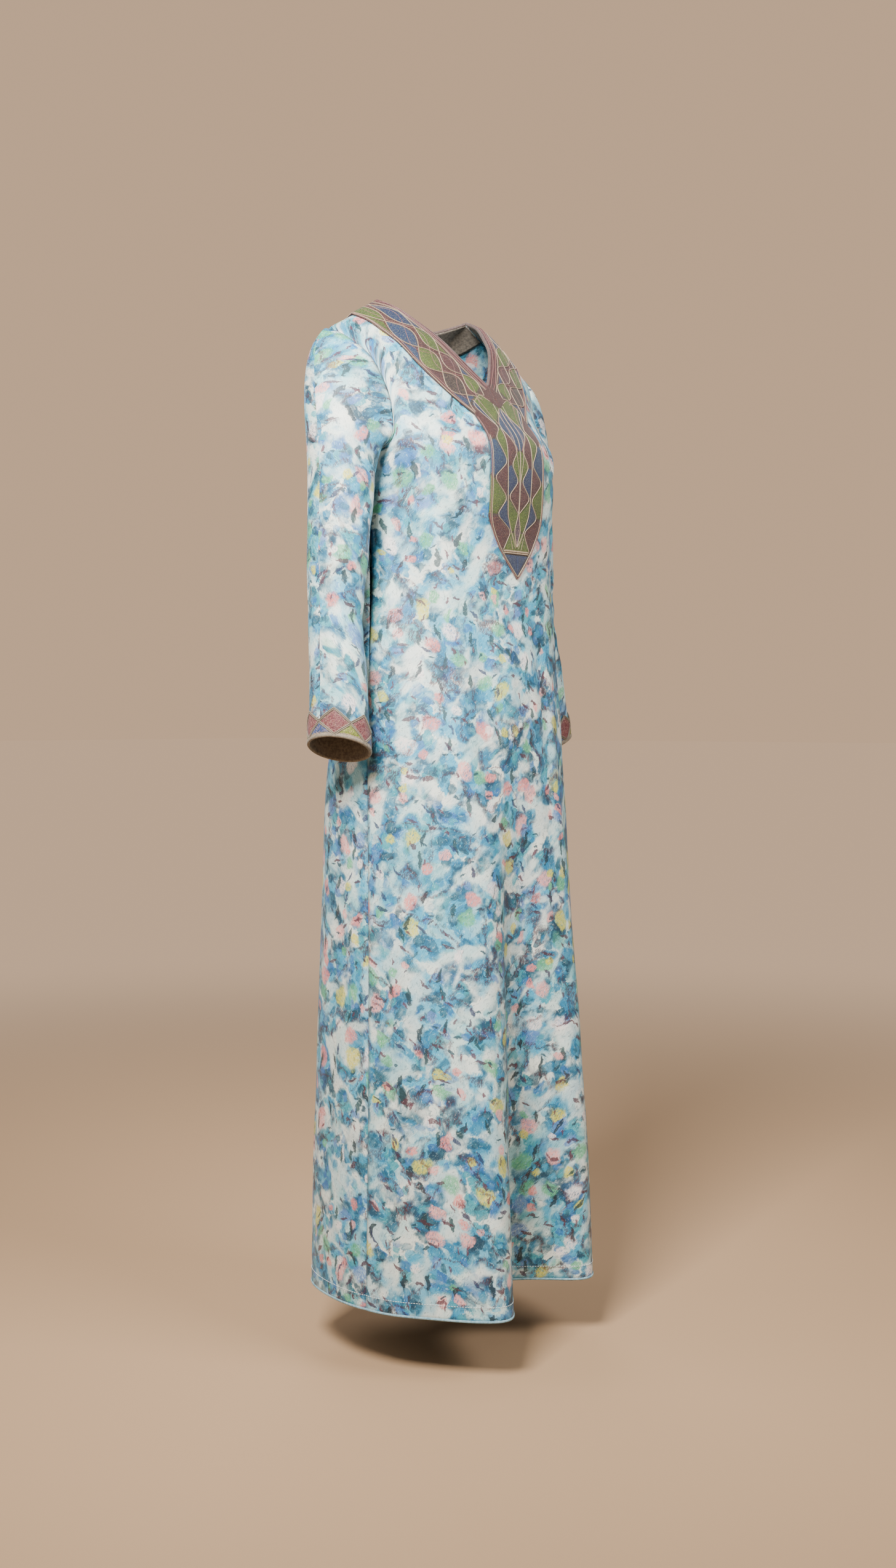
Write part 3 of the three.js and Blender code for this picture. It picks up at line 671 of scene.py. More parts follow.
# %% The builder of finishes
class Finish:
    """A Principled material under construction."""

    def __init__(self, name, **constants):
        self.material = bpy.data.materials.new(name)
        self.material.use_nodes = True
        self.tree = self.material.node_tree
        self.shader = self.tree.nodes["Principled BSDF"]
        for socket, value in constants.items():
            self.shader.inputs[socket.replace("_", " ")].default_value = value

    def node(self, kind, settings=None, sockets=None, output=0):
        """Adds a node: its settings first (a ramp's stops among them), then its sockets."""
        node = self.tree.nodes.new(kind)
        for key, value in (settings or {}).items():
            if key == "stops":
                ramp = node.color_ramp
                while len(ramp.elements) < len(value):
                    ramp.elements.new(1.0)
                for element, (place, code) in zip(ramp.elements, value):
                    element.position, element.color = place, colour(code)
            elif key == "ramp":
                node.color_ramp.interpolation = value
            else:
                setattr(node, key, value)
        for socket, value in (sockets or {}).items():
            if isinstance(value, Wire):
                self.tree.links.new(value.socket, node.inputs[socket])
            else:
                node.inputs[socket].default_value = value
        return Wire(self, node.outputs[output])

    def flat(self):
        """The cloth's own flat coordinates, in metres."""
        return self.node("ShaderNodeUVMap", {"uv_map": "flat"})

    def turn(self, place, degrees, rates, offset=(0, 0, 0)):
        """Coordinates turned first and then multiplied by their rates, for patterns that run
        along a direction."""
        return self.node("ShaderNodeMapping", {"vector_type": "TEXTURE"}, {
            "Vector": place, "Rotation": (0, 0, math.radians(degrees)), "Location": offset,
            "Scale": (1 / rates[0], 1 / rates[1], 1)})

    def noise(self, place, scale, detail=3.0, rough=0.5, distort=0.0, output="Fac"):
        sockets = {"Vector": place, "Scale": scale, "Detail": detail, "Roughness": rough,
                   "Distortion": distort}
        return self.node("ShaderNodeTexNoise", None, sockets, output)

    def mix(self, share, a, b):
        """a, with b laid over it by share."""
        a, b = (colour(c) if isinstance(c, str) else c for c in (a, b))
        return self.node("ShaderNodeMix", {"data_type": "RGBA"}, {0: share, 6: a, 7: b}, output=2)

    def ramp(self, value, *stops, how="LINEAR"):
        return self.node("ShaderNodeValToRGB", {"ramp": how, "stops": stops}, {"Fac": value})

    def deepen(self, tint, power):
        """A colour with each channel raised to a power, which deepens it and keeps white."""
        return self.node("ShaderNodeGamma", None, {"Color": tint, "Gamma": power})

    def apart(self, vector):
        """The x and y of a vector."""
        split = self.node("ShaderNodeSeparateXYZ", None, {"Vector": vector})
        return split, Wire(self, split.socket.node.outputs[1])

    def bump(self, height, distance, strength):
        return self.node("ShaderNodeBump", None,
                         {"Height": height, "Distance": distance, "Strength": strength})

    def wear(self, **links):
        """Links what changes over the surface to the shader, and returns the material."""
        for socket, value in links.items():
            self.tree.links.new(value.socket, self.shader.inputs[socket.replace("_", " ")])
        return self.material


def weave(finish, place, pitch):
    """A plain weave's height: the product of two sines that cross, one cycle a thread, halved
    and raised by 0.5."""
    x, y = finish.apart(place)
    rate = 2 * math.pi / pitch
    warp, weft = (x * rate).math("SINE", x * rate), (y * rate).math("SINE", y * rate)
    return (warp * weft) * 0.5 + 0.5


# %% [markdown]
# ## The printed cloth
# The real cloth looks like a soft crepe with a satin face, and is printed all over with a
# watery garden of teal, mint, coral and slate. This print is one of its own: layers of washes,
# clouds, blossoms, leaves and dabs, each found by noise or by cells, as a printer lays down
# screens one colour at a time.


# %% Spots, blots and leaves
def scattered(finish, place, pitch, offset):
    """Scattered spots, one a cell: the coordinates from the nearest one's centre in cell
    widths, and two random numbers of that spot."""
    spread = finish.turn(place, 0, (1 / pitch, 1 / pitch), offset)
    nearest = finish.node("ShaderNodeTexVoronoi", {"voronoi_dimensions": "2D"},
                          {"Vector": spread, "Scale": 1.0, "Randomness": 1.0}, output="Position")
    way = finish.node("ShaderNodeVectorMath", {"operation": "SUBTRACT"}, {0: spread, 1: nearest})
    tint = Wire(finish, nearest.socket.node.outputs["Color"])
    luck = finish.node("ShaderNodeSeparateColor", None, {"Color": tint})
    return *finish.apart(way), luck, Wire(finish, luck.socket.node.outputs[1])


def often(luck, share):
    """1 for that share of the spots."""
    return luck.step(1 - share - 0.005, 1 - share + 0.005)


def blots(finish, place, pitch, size, share, edge, offset):
    """Round blots with a ragged edge: the mask, a random number and the share of the way out."""
    x, y, luck, kind = scattered(finish, place, pitch, offset)
    out = (x * x + y * y) ** 0.5 / size + (edge - 0.5) * 0.9
    return out.step(1.12, 0.72) * often(luck, share), kind, out


def leaves(finish, place, pitch, lean, sway, long, slim, share, edge, offset):
    """Pointed leaves: the spot's own x and y are turned by lean plus a random part of sway, and
    a leaf is where |y| is under slim times one minus (x / long) squared."""
    x, y, luck, kind = scattered(finish, place, pitch, offset)
    angle = kind * sway + lean
    cosine, sine = angle.math("COSINE", angle), angle.math("SINE", angle)
    along, aside = x * cosine + y * sine, y * cosine - x * sine
    width = (along * along) * (-slim / long**2) + slim
    within = width - aside.math("ABSOLUTE", aside) + (edge - 0.5) * (0.6 * slim)
    return within.step(0.0, 0.2 * slim) * often(luck, share), kind


def stirred(finish, uv, place, scale, detail, rough, reach):
    """A place moved by reach times a noise's colour, so that the edges drawn on it wander."""
    push = finish.noise(uv, scale, detail, rough, output="Color")
    return finish.node("ShaderNodeVectorMath", {"operation": "MULTIPLY_ADD"},
                       {0: push, 1: (reach, reach, 0), 2: place})


# %% The print's screens
WASHES = ((0.32, "a5cdd0"), (0.42, "cfe0dc"), (0.54, "e4e6de"), (0.62, "d9ded8"), (0.72, "b6d0cd"))
WATERS = ((0.0, "2391b2"), (0.22, "117693"), (0.42, "58b2cc"), (0.58, "3a80b4"), (0.70, "146074"),
          (0.84, "4fa9b4"))
PETALS = ((0.0, "e9a09a"), (0.20, "dcd474"), (0.38, "f0e6e2"), (0.50, "80c098"), (0.70, "efb8b2"),
          (0.88, "7d9cc6"))
# pitch in metres, size, offset and strength of each screen of watery blots
WATER_BLOTS = ((0.036, 0.52, (0.4, 0.7, 0), 0.9), (0.023, 0.52, (3.3, 9.1, 0), 0.9),
               (0.014, 0.46, (8.3, 2.7, 0), 0.75))
# pitch, size, offset and share of the spots that bear a petal
PETAL_BLOTS = ((0.038, 0.32, (4.4, 3.1, 0), 0.40), (0.024, 0.30, (1.9, 6.1, 0), 0.20))
# pitch, lean, sway, length, width, share of the spots, two colours and offset
LEAVES = (
    (0.036, 0.9, 1.0, 0.34, 0.10, 0.40, "1c3c46", "2b565a", (1.3, 0.2, 0)),
    (0.026, 1.9, 1.2, 0.34, 0.10, 0.30, "3c4a70", "6c4552", (5.2, 2.1, 0)),
    (0.016, -0.4, 2.6, 0.34, 0.11, 0.22, "1c5564", "7c4c5c", (7.2, 5.1, 0)))
PRINT_DEPTH = 1.6  # the view's tone curve pales blues, so the pigments are deepened
THREAD_PITCH = 0.0011
print("print screens:", len(WATER_BLOTS) + len(PETAL_BLOTS) + len(LEAVES), "of motifs")


# %% The printed cloth's finish
def painted_print():
    """The print's colour: each screen is laid over those before it through its own mask."""
    f = Finish("printed_crepe", Roughness=0.47, Sheen_Weight=0.04, Sheen_Roughness=0.4)
    uv = f.flat()
    stir = stirred(f, uv, uv, 17.0, 2.0, 0.5, 0.034)
    fine = stirred(f, uv, stir, 120.0, 3.0, 0.6, 0.010)
    brushy = f.noise(f.turn(uv, 62, (230, 620)), 1.0, 3.0, 0.65)
    grain = f.noise(f.turn(uv, 80, (700, 1900)), 1.0, 2.0, 0.65)
    wash = f.noise(f.turn(stir, 40, (6, 13)), 1.0, 4.0, 0.55, 0.3)
    base = f.ramp(wash, *WASHES)
    crowd = f.noise(f.turn(uv, 44, (22, 31)), 1.0, 2.0, 0.5, 0.4)
    low = f.apart(uv)[1].step(1.2, 0.8)  # painted light: thinner print high up paints the upper cloth lighter, as if lit from above
    dense = crowd.step(0.37, 0.56) * (low * 0.1 + 0.9)
    sky = f.noise(fine, 15.0, 3.0, 0.55)
    base = f.mix(sky.step(0.46, 0.60) * (dense * 0.6 + 0.35), base, "82bfd2")
    # watery blots in teals and blues, thick where the garden is dense
    for pitch, size, offset, strength in WATER_BLOTS:
        mask, kind, out = blots(f, fine, pitch, size, 0.75, brushy, offset)
        tint = f.mix(out.step(0.9, 0.0) * 0.25, f.ramp(kind, *WATERS, how="CONSTANT"), "a8d5da")
        base = f.mix(mask * (dense * 0.95 + 0.05) * (0.75 + brushy * 0.6) * strength, base, tint)
    deep = f.noise(fine, 28.0, 4.0, 0.62)
    base = f.mix(deep.step(0.54, 0.63) * (dense * 0.7 + 0.05), base, "17566c")
    cloud = f.noise(fine, 24.0, 4.0, 0.6, 0.3)
    base = f.mix(cloud.step(0.58, 0.68) * 0.55, base, "e6e5dc")
    # soft petals of other colours
    for pitch, size, offset, share in PETAL_BLOTS:
        mask, kind, _ = blots(f, fine, pitch, size, share, brushy, offset)
        petal = f.ramp(kind, *PETALS, how="CONSTANT")
        base = f.mix(mask * brushy.step(0.32, 0.52) * 0.85, base, petal)
    # leaves, dabs and broken twigs
    for pitch, lean, sway, long, slim, share, one, two, offset in LEAVES:
        mask, kind = leaves(f, fine, pitch, lean, sway, long, slim, share, brushy, offset)
        base = f.mix(mask * (0.5 + brushy * 0.55), base, f.ramp(kind, (0.4, one), (0.6, two)))
    twig = f.noise(fine, 13.0, 2.0, 0.5)
    line = (twig - 0.5).math("ABSOLUTE", twig - 0.5).step(0.022, 0.008)
    line = line * brushy.step(0.40, 0.55) * crowd.step(0.38, 0.52)
    base = f.mix(line * 0.7, base, "6f4450")
    rice = f.noise(f.turn(fine, 58, (180, 640)), 1.0, 2.0, 0.6)
    base = f.mix(rice.step(0.58, 0.68) * 0.35, base, "f2f3ee")
    base = f.mix(rice.step(0.44, 0.34) * 0.4, base, "41616a")
    base = f.mix(grain.step(0.5, 0.8) * 0.22, base, "ffffff")
    base = f.deepen(base, PRINT_DEPTH)
    height = weave(f, uv, THREAD_PITCH) * 0.4 + grain * 0.6
    bump = f.bump(height, 0.00035, 0.55)
    return f.wear(Base_Color=base, Roughness=0.40 + grain * 0.16, Normal=bump)


PRINTED = painted_print()
for face, flat, area in (("front", (0.68, 1.40), 0.664), ("back", (0.64, 1.37), 0.673)):
    dress(panels[face], face, PRINTED)
for name, piece in sleeves.items():
    dress(piece, f"sleeve_{name}", PRINTED)
print("printed cloth on", len(panels) + len(sleeves), "pieces")

# %% [markdown]
# ## The embroidered trims
# The neck trim is one stiff strip: a band beside the V, and a panel on the chest that ends in
# a point. Its ground is filled with couched thread in lozenges of olive, burgundy, slate and
# blue, and laid cords outline them. The lozenges are traditional, so they are charted like an
# embroiderer's pattern, as polygons in the strip's own flat coordinates. A colour attribute
# carries the threads' colours, and each lozenge swells a little, as a filled one does.

# %% Points on the form
UP = np.array([0.0, 0.0, 1.0])
BAND_WIDTH, PANEL_HALF, STRAIGHT_Z, PANEL_TIP_Z = 56.0, 57.0, -296.0, -376.0


def on_form(face, x, z, lift):
    """The points of the form at (x, z), lifted along its normal, and the normals. The normal
    is (y_x, -1, y_z) in front and (-y_x, 1, -y_z) behind, and turns upright at the shoulder
    seam, so that front and back agree there."""
    e = 0.25
    x, z = np.broadcast_arrays(np.asarray(x, float), np.asarray(z, float))
    slope_x = (form_y(face, x + e, z) - form_y(face, x - e, z)) / (2 * e)
    slope_z = (form_y(face, x, z + e) - form_y(face, x, z - e)) / (2 * e)
    normal = unit(np.stack([-slope_x, np.ones_like(x), -slope_z], -1)) * OUT[face]
    below = z - SHOULDER_SLOPE * np.maximum(0, np.abs(x) - NECK_HALF)
    seam = (bell(below, 4.0) * (np.abs(x) > NECK_HALF - 6))[..., None]
    normal = unit(lerp(normal, UP, seam))
    points = np.stack([x, form_y(face, x, z), z], -1)
    return points + normal * np.asarray(lift)[..., None], normal


def band_edges(face, width, s):
    """The inner and outer edges of a strip beside the neckline at share s from the shoulder
    seam to its foot: (x, z) each."""
    drop, power = (NECK_DEPTH, 1.1) if face == "front" else (BACK_NECK_DEPTH, 2)
    inner = NECK_HALF * (1 - s), -drop * (1 - (1 - s) ** power)
    start_x, start_z = NECK_HALF + 0.91 * width, SHOULDER_SLOPE * 0.91 * width
    if face == "front":
        bow = 7 * np.sin(np.pi * s)
        foot_z = -NECK_DEPTH - 0.86 * width
        return inner, (lerp(start_x, PANEL_HALF, s) + bow, lerp(start_z, foot_z, s) - bow)
    turn = s * np.pi / 2
    return inner, (start_x * np.cos(turn), lerp(start_z, -drop - width, np.sin(turn)))


# %% Charts: polygons, their threads and their swell
THREADS = {
    "olive": "7b8c22", "burgundy": "783c42", "navy": "165682", "blue": "226488", "plum": "84707c",
    "brown": "624a40", "slate": "3a6488", "lime": "95a22c", "rose": "94505c", "sky": "2f6ea2",
    "beige": "b8a995", "pink": "a4807a", "grey": "a69c8e", "wine": "7a464e"}
SWELL, SWELL_EDGE = 0.5, 2.4  # a filled lozenge's height, and how far in it is reached


def inside(points, corners):
    """Which points lie in a polygon: a line from each to the right crosses it an odd number
    of times."""
    x, y = points[..., 0], points[..., 1]
    hit = np.zeros(x.shape, bool)
    for (x0, y0), (x1, y1) in zip(corners, corners[1:] + corners[:1]):
        hit ^= ((y0 > y) != (y1 > y)) & (x < (x1 - x0) * (y - y0) / ((y1 - y0) or 1e-9) + x0)
    return hit


def rim_distance(points, corners):
    """The distance from each point to the polygon's nearest edge."""
    nearest = np.full(points.shape[:-1], 99.0)
    for a, b in zip(corners, corners[1:] + corners[:1]):
        a, way = np.array(a, float), np.subtract(b, a).astype(float)
        t = np.clip(((points - a) @ way) / (way @ way + 1e-9), 0, 1)
        nearest = np.minimum(nearest, np.linalg.norm(points - a - t[..., None] * way, axis=-1))
    return nearest


def paint(points, ground, shapes):
    """The thread colour and the swell at each chart point. Later shapes cover earlier ones."""
    shade = np.empty(points.shape[:-1] + (4,))
    shade[:] = colour(THREADS[ground])
    swell = np.zeros(points.shape[:-1])
    for thread, corners in shapes:
        hit = inside(points, corners)
        shade[hit] = colour(THREADS[thread])
        swell[hit] = SWELL * smooth(rim_distance(points[hit], corners) / SWELL_EDGE)
    return shade, swell


# %% The chest panel's chart
# (distance from the centre line, height) in millimetres; both halves are alike
CHEST_CELLS = [
    ("burgundy", [(0, -112), (30, -130), (14, -139), (0, -147)]),
    ("olive", [(14, -139), (30, -130), (46, -141), (28, -174), (2, -148)]),
    ("navy", [(46, -141), (52, -148), (28, -178), (27, -171)]),
    ("slate", [(0, -147), (26, -177), (4, -205), (0, -206)]),
    ("burgundy", [(52, -148), (58, -156), (58, -196), (45, -193), (28, -177)]),
    ("olive", [(27, -178), (44, -194), (26, -223), (25, -221)]),
    ("wine", [(25, -180), (25, -228), (18, -226), (4, -207)]),
    ("blue", [(45, -195), (58, -198), (58, -240), (51, -244), (27, -223)]),
    ("olive", [(0, -207), (5, -207), (18, -226), (3, -246), (0, -247)]),
    ("navy", [(18, -227), (25, -229), (25, -267), (23, -267), (4, -247)]),
    ("wine", [(26, -224), (50, -245), (26, -269)]),
    ("wine", [(0, -248), (4, -248), (23, -268), (1, -288), (0, -289)]),
    ("olive", [(51, -246), (58, -243), (58, -292), (44, -292), (27, -270)]),
    ("navy", [(26, -271), (42, -293), (15, -312), (24, -290)]),
    ("olive", [(24, -270), (23, -288), (13, -313), (7, -312), (1, -290)]),
    ("plum", [(0, -290), (6, -311), (0, -334)]),
    ("burgundy", [(43, -294), (57, -297), (34, -336), (28, -337), (14, -314)]),
    ("olive", [(7, -314), (13, -314), (27, -337), (0, -337), (0, -335)]),
    ("beige", [(0, -338), (28, -338), (25, -343), (0, -343)]),
    ("navy", [(0, -344), (25, -344), (0, -371)]),
]
# cords: their thread, half thickness and corners
CHEST_CORDS = [
    ("beige", 0.8, [(0, -150), (0, -290)]),
    ("beige", 0.75, [(10, -142), (9, -205), (0.6, -246), (0.6, -290), (6.5, -312), (0, -334)]),
    ("beige", 0.8, [(25, -178), (26, -222), (24, -270), (22, -292), (13.5, -313), (0.5, -334)]),
    ("beige", 0.85, [(1, -147), (26, -177), (5, -206), (18, -226), (3.5, -247), (23, -268),
                     (0.8, -289)]),
    ("beige", 0.85, [(47, -141), (27, -177), (44, -194), (26, -223), (51, -245), (25, -270),
                     (43, -293), (13.5, -313), (27.5, -338)]),
    ("beige", 0.7, [(14, -139), (30, -131), (52, -148), (28, -177)]),
    ("pink", 0.7, [(38, -136), (22, -176)]), ("pink", 0.7, [(5, -150), (14, -190), (4, -206)]),
    ("beige", 0.65, [(3, -336), (12, -316)]), ("beige", 0.65, [(9, -337), (14, -320)]),
    ("beige", 1.3, [(0, -339.5), (27, -339.5)]), ("beige", 1.2, [(0, -342), (26, -342)]),
    ("pink", 1.0, [(55, -166), (55, -294), (51, -309), (44, -323), (34, -339), (21, -355),
                   (9, -368), (0.5, -376)]),
    ("beige", 1.0, [(52.6, -190), (52.6, -293), (48.5, -308), (41.6, -322), (31.6, -338),
                    (18.6, -354), (6.6, -366.5), (0.5, -373)]),
]
print("chest panel:", len(CHEST_CELLS), "lozenges and", len(CHEST_CORDS), "cords a side")

# %% The band's chart
BAND_LENGTH = 188.0  # along the band, to make its chart's two directions alike
BAND_SCALE = {"front": 1.0, "back": 0.75}  # the part of that length that a band takes up
PITCHES, BACK_PITCHES = 4, 3
INNER_ROW = ("navy", "olive", "wine", "olive", "navy")
OUTER_ROW = ("olive", "slate", "olive", "brown", "navy")
BETWEEN = ("wine", "navy", "olive", "slate")


def lens(start, end, middle, half, steps=8):
    """A leaf outline along the band: middle plus and minus half times the sine of the share
    of its length, in (along, across) chart millimetres."""
    t = np.linspace(0, 1, steps + 1)
    s = lerp(start, end, t)
    swell = half * np.sin(np.pi * t) ** 0.85
    upper, lower = np.stack([s, middle + swell], 1), np.stack([s, middle - swell], 1)[-2:0:-1]
    return [tuple(p) for p in np.concatenate([upper, lower]).tolist()]


def band_cells(pitches):
    """Two rows of leaves, half a pitch apart, with wedges between them and at the edges."""
    pitch = BAND_LENGTH / PITCHES
    shapes = [(INNER_ROW[k % 5], lens(k * pitch + 1, (k + 1) * pitch - 1, 20, 8.5))
              for k in range(pitches)]
    shapes += [(OUTER_ROW[k % 5], lens((k - 0.5) * pitch + 1, (k + 0.5) * pitch - 1, 40, 10.5))
               for k in range(pitches + 1)]
    shapes += [(BETWEEN[k % 4],
                [((k - 0.36) * pitch, 12.5), (k * pitch, 17), ((k + 0.36) * pitch, 12.5)])
               for k in range(pitches + 1)]
    shapes += [(BETWEEN[(k + 2) % 4],
                [((k + 0.14) * pitch, 52), ((k + 0.5) * pitch, 43), ((k + 0.86) * pitch, 52)])
               for k in range(pitches)]
    return shapes


def wave(middle, half, phase, pitches, steps=14):
    """A cord that weaves across the band: middle plus half times the sine of pi times the
    pitches passed, so that two with opposite halves outline a row of leaves."""
    t = np.linspace(0, pitches, int(pitches * steps) + 1)
    along, across = t * BAND_LENGTH / PITCHES, middle + half * np.sin(np.pi * (t + phase))
    return list(zip(along.tolist(), across.tolist()))


STRAIGHT_CORDS = (  # thread, half thickness and distance from the neckline
    ("wine", 0.9, 1.4), ("pink", 0.9, 3.6), ("wine", 0.8, 5.7), ("pink", 0.8, 7.7),
    ("beige", 0.75, 10.4), ("beige", 1.0, 54.6), ("pink", 0.8, 52.4))
WAVY_CORDS = (  # thread, half thickness, middle, half the wave's height and its phase
    ("beige", 0.85, 20, 9.2, 0), ("beige", 0.85, 20, -9.2, 0), ("beige", 0.9, 40, 11.2, 0.5),
    ("beige", 0.9, 40, -11.2, 0.5), ("pink", 0.7, 30, 9.5, 0.25), ("pink", 0.6, 31, -15, 0.1))


def band_cords(pitches):
    """Each cord's thread, half thickness and line on the chart."""
    end = pitches * BAND_LENGTH / PITCHES
    cords = [(thread, r, [(0, w), (end, w)]) for thread, r, w in STRAIGHT_CORDS]
    return cords + [(thread, r, wave(*way, pitches)) for thread, r, *way in WAVY_CORDS]


print("band:", len(band_cells(PITCHES)), "shapes and", len(band_cords(PITCHES)), "cords a side")

# %% The neck trims as grids
TRIM_WALL, TRIM_LIFT = 1.3, 2.1  # the trim's thickness, and its face's height above the cloth
TRIM_COLUMNS = 43


def half_trim(sign):
    """One half of the front trim as a grid: band rows, then the chest panel's straight and
    tapering rows. It returns the points, the normals, and the chart of each."""
    s = np.linspace(0, 1, 91)
    (ax, az), (bx, bz) = band_edges("front", BAND_WIDTH, s)
    t, u = np.linspace(0, 1, 91)[1:], np.linspace(0, 1, 50)[1:]
    straight_z, taper_z = lerp(bz[-1], STRAIGHT_Z, t), lerp(STRAIGHT_Z, PANEL_TIP_Z, u)
    taper_x = np.maximum(1.0, PANEL_HALF * (1 - u**1.25))
    inner_x = np.concatenate([ax, 0 * t, 0 * u])
    inner_z = np.concatenate([az, lerp(-NECK_DEPTH, STRAIGHT_Z, t), taper_z])
    outer_x = np.concatenate([bx, PANEL_HALF + 0 * t, taper_x])
    outer_z = np.concatenate([bz, straight_z, taper_z])
    w = np.linspace(0, 1, TRIM_COLUMNS)[None]
    x = lerp(inner_x[:, None], outer_x[:, None], w)
    z = lerp(inner_z[:, None], outer_z[:, None], w)
    band = np.stack(np.broadcast_arrays(s[:, None] * BAND_LENGTH, w * BAND_WIDTH), -1)
    shade, swell = paint(np.stack([x, z], -1), "brown", CHEST_CELLS)
    band_shade, band_swell = paint(band, "burgundy", band_cells(PITCHES))
    n = int(len(s) * 0.93)  # the band's chart gives way to the panel's near the V's point
    shade[:n], swell[:n] = band_shade[:n], band_swell[:n]
    points, normals = on_form("front", sign * x, z, TRIM_LIFT + swell)
    return points, normals, shade


def back_trim():
    """The back band in one grid: out from one shoulder seam, round the neck to the other."""
    s = np.linspace(0, 1, 61)
    s = np.concatenate([s, s[-2::-1]])
    side = np.concatenate([np.ones(61), -np.ones(60)])
    (ax, az), (bx, bz) = band_edges("back", BAND_WIDTH, s)
    w = np.linspace(0, 1, TRIM_COLUMNS)[None]
    x = side[:, None] * lerp(ax[:, None], bx[:, None], w)
    z = lerp(az[:, None], bz[:, None], w)
    along = s[:, None] * BAND_LENGTH * BAND_SCALE["back"]
    chart = np.stack(np.broadcast_arrays(along, w * BAND_WIDTH), -1)
    shade, swell = paint(chart, "burgundy", band_cells(BACK_PITCHES))
    points, normals = on_form("back", x, z, TRIM_LIFT + swell)
    return points, normals, shade


# %% The neck trims
def joined(name, grids, wall):
    """Several grids (points, outward normals, threads) as one closed shell, with their shared
    edges merged."""
    parts, start = [], 0
    for points, outward, shade in grids:
        cells, uv = grid_cells(*points.shape[:2]), flat_uv(points)
        if np.sum(grid_normals(points) * outward) < 0:
            cells, uv = turned(cells, uv)
        parts.append((points.reshape(-1, 3), cells + start, uv, shade.reshape(-1, 4)))
        start += points.shape[0] * points.shape[1]
    obj = make_mesh(name, *(np.concatenate(part) for part in zip(*parts)))
    work = bmesh.new()
    work.from_mesh(obj.data)
    bmesh.ops.remove_doubles(work, verts=work.verts, dist=0.00002)
    work.to_mesh(obj.data)
    work.free()
    return walled(obj, wall)


neck_trim_front = joined(
    "neck_trim_front_embroidered", [half_trim(-1), half_trim(1)], TRIM_WALL)
neck_trim_back = joined("neck_trim_back_embroidered", [back_trim()], TRIM_WALL)
print("front trim:", len(neck_trim_front.data.polygons), "cells")

# %% [markdown]
# ## Laid cords
# A laid cord is a twisted thread that lies on the cloth and is caught down by tiny stitches.
# Each is a profile carried along a line of the chart. The line is put on the form first, so the
# cord follows the chest, and a swell that winds round the profile makes it read as twisted.


# %% Lines and carried profiles
def resample(corners, step):
    """Points at even steps along a line through the corners."""
    corners = np.asarray(corners, float)
    arc = arc_length(corners)
    even = np.linspace(0, arc[-1], max(3, int(round(arc[-1] / step)) + 1))
    return at_lengths(even, arc, corners)


def rounded(corners):
    """The corners cut a little, twice: each edge keeps its points at 0.14 and 0.86."""
    corners, keep = np.asarray(corners, float), 0.86
    for _ in range(2):
        a, b = corners[:-1], corners[1:]
        cut = np.stack([a * keep + b * (1 - keep), a * (1 - keep) + b * keep], 1)
        corners = np.concatenate([corners[:1], cut.reshape(-1, corners.shape[1]), corners[-1:]])
    return corners


STRANDS, LAY, CAP = 2.0, 8, 0.4  # strands, radii in one turn of the twist, an end's size


def sweep(path, normal, radius, sides=6, closed=False, flatten=1.0, twist=0.1):
    """A round profile carried along a path on a surface. The profile's radius swells by twist
    with the cosine of its strands' turns, which wind on along it, so it reads as twisted cord.
    An open one ends in a small cap. Returns points and faces."""
    way = np.roll(path, -1, 0) - np.roll(path, 1, 0) if closed else np.gradient(path, axis=0)
    way = unit(way)
    side = unit(np.cross(way, normal))
    out = np.cross(side, way)
    angle = np.linspace(0, 2 * np.pi, sides, endpoint=False)[None]
    run = arc_length(path)[:, None]
    size = radius * (1 + twist * np.cos(STRANDS * angle - 2 * np.pi * run / (LAY * radius)))
    if not closed:
        size[0], size[-1] = size[0] * CAP, size[-1] * CAP
    points = (path[:, None] + (size * np.cos(angle))[..., None] * side[:, None]
              + (flatten * size * np.sin(angle))[..., None] * out[:, None])
    rows = len(path)
    r, c = np.mgrid[0 : rows if closed else rows - 1, 0:sides]
    d, q = (c + 1) % sides, (r + 1) % rows
    faces = np.stack([q * sides + c, q * sides + d, r * sides + d, r * sides + c], -1)
    faces = faces.reshape(-1, 4).tolist()
    if not closed:
        faces += [list(range(sides)), list(range(rows * sides - 1, (rows - 1) * sides - 1, -1))]
    return points.reshape(-1, 3), faces


def bundle(name, tubes, shades):
    """Many swept tubes as one mesh, each with its own thread colour."""
    points, faces, colours, start = [], [], [], 0
    for (p, f), shade in zip(tubes, shades):
        points.append(p)
        faces += [[i + start for i in face] for face in f]
        colours.append(np.tile(colour(THREADS[shade]), (len(p), 1)))
        start += len(p)
    return make_mesh(name, np.concatenate(points), faces, None, np.concatenate(colours))


# %% Cords on the chest and the bands
CORD_STEP, CORD_FINE = 1.1, 0.64  # steps along a cord, and how fine it is against its chart
CORD_LIFT = TRIM_LIFT + 0.3


def chest_line(sign, corners):
    """A cord with its corners rounded. The centre cord is laid once, with the right half."""
    if sign > 0 and len(corners) == 2 and corners[0][0] == corners[1][0] == 0:
        return None
    return resample(rounded(corners) if len(corners) > 2 else corners, CORD_STEP)


def band_line(sign, corners):
    """A cord that wanders a little, as by hand."""
    chart = resample(corners, CORD_STEP)
    chart[:, 1] += 0.5 * np.sin(chart[:, 0] / 13 + sign + corners[0][1])
    return chart


def chest_place(sign, chart):
    """A chart point of the chest panel on the form."""
    return on_form("front", sign * chart[:, 0], chart[:, 1], CORD_LIFT)


def band_place(face, sign, chart):
    """A chart point of the band on the form."""
    s = np.clip(chart[:, 0] / (BAND_LENGTH * BAND_SCALE[face]), 0, 1)
    w = chart[:, 1] / BAND_WIDTH
    (ax, az), (bx, bz) = band_edges(face, BAND_WIDTH, s)
    return on_form(face, sign * lerp(ax, bx, w), lerp(az, bz, w), CORD_LIFT)


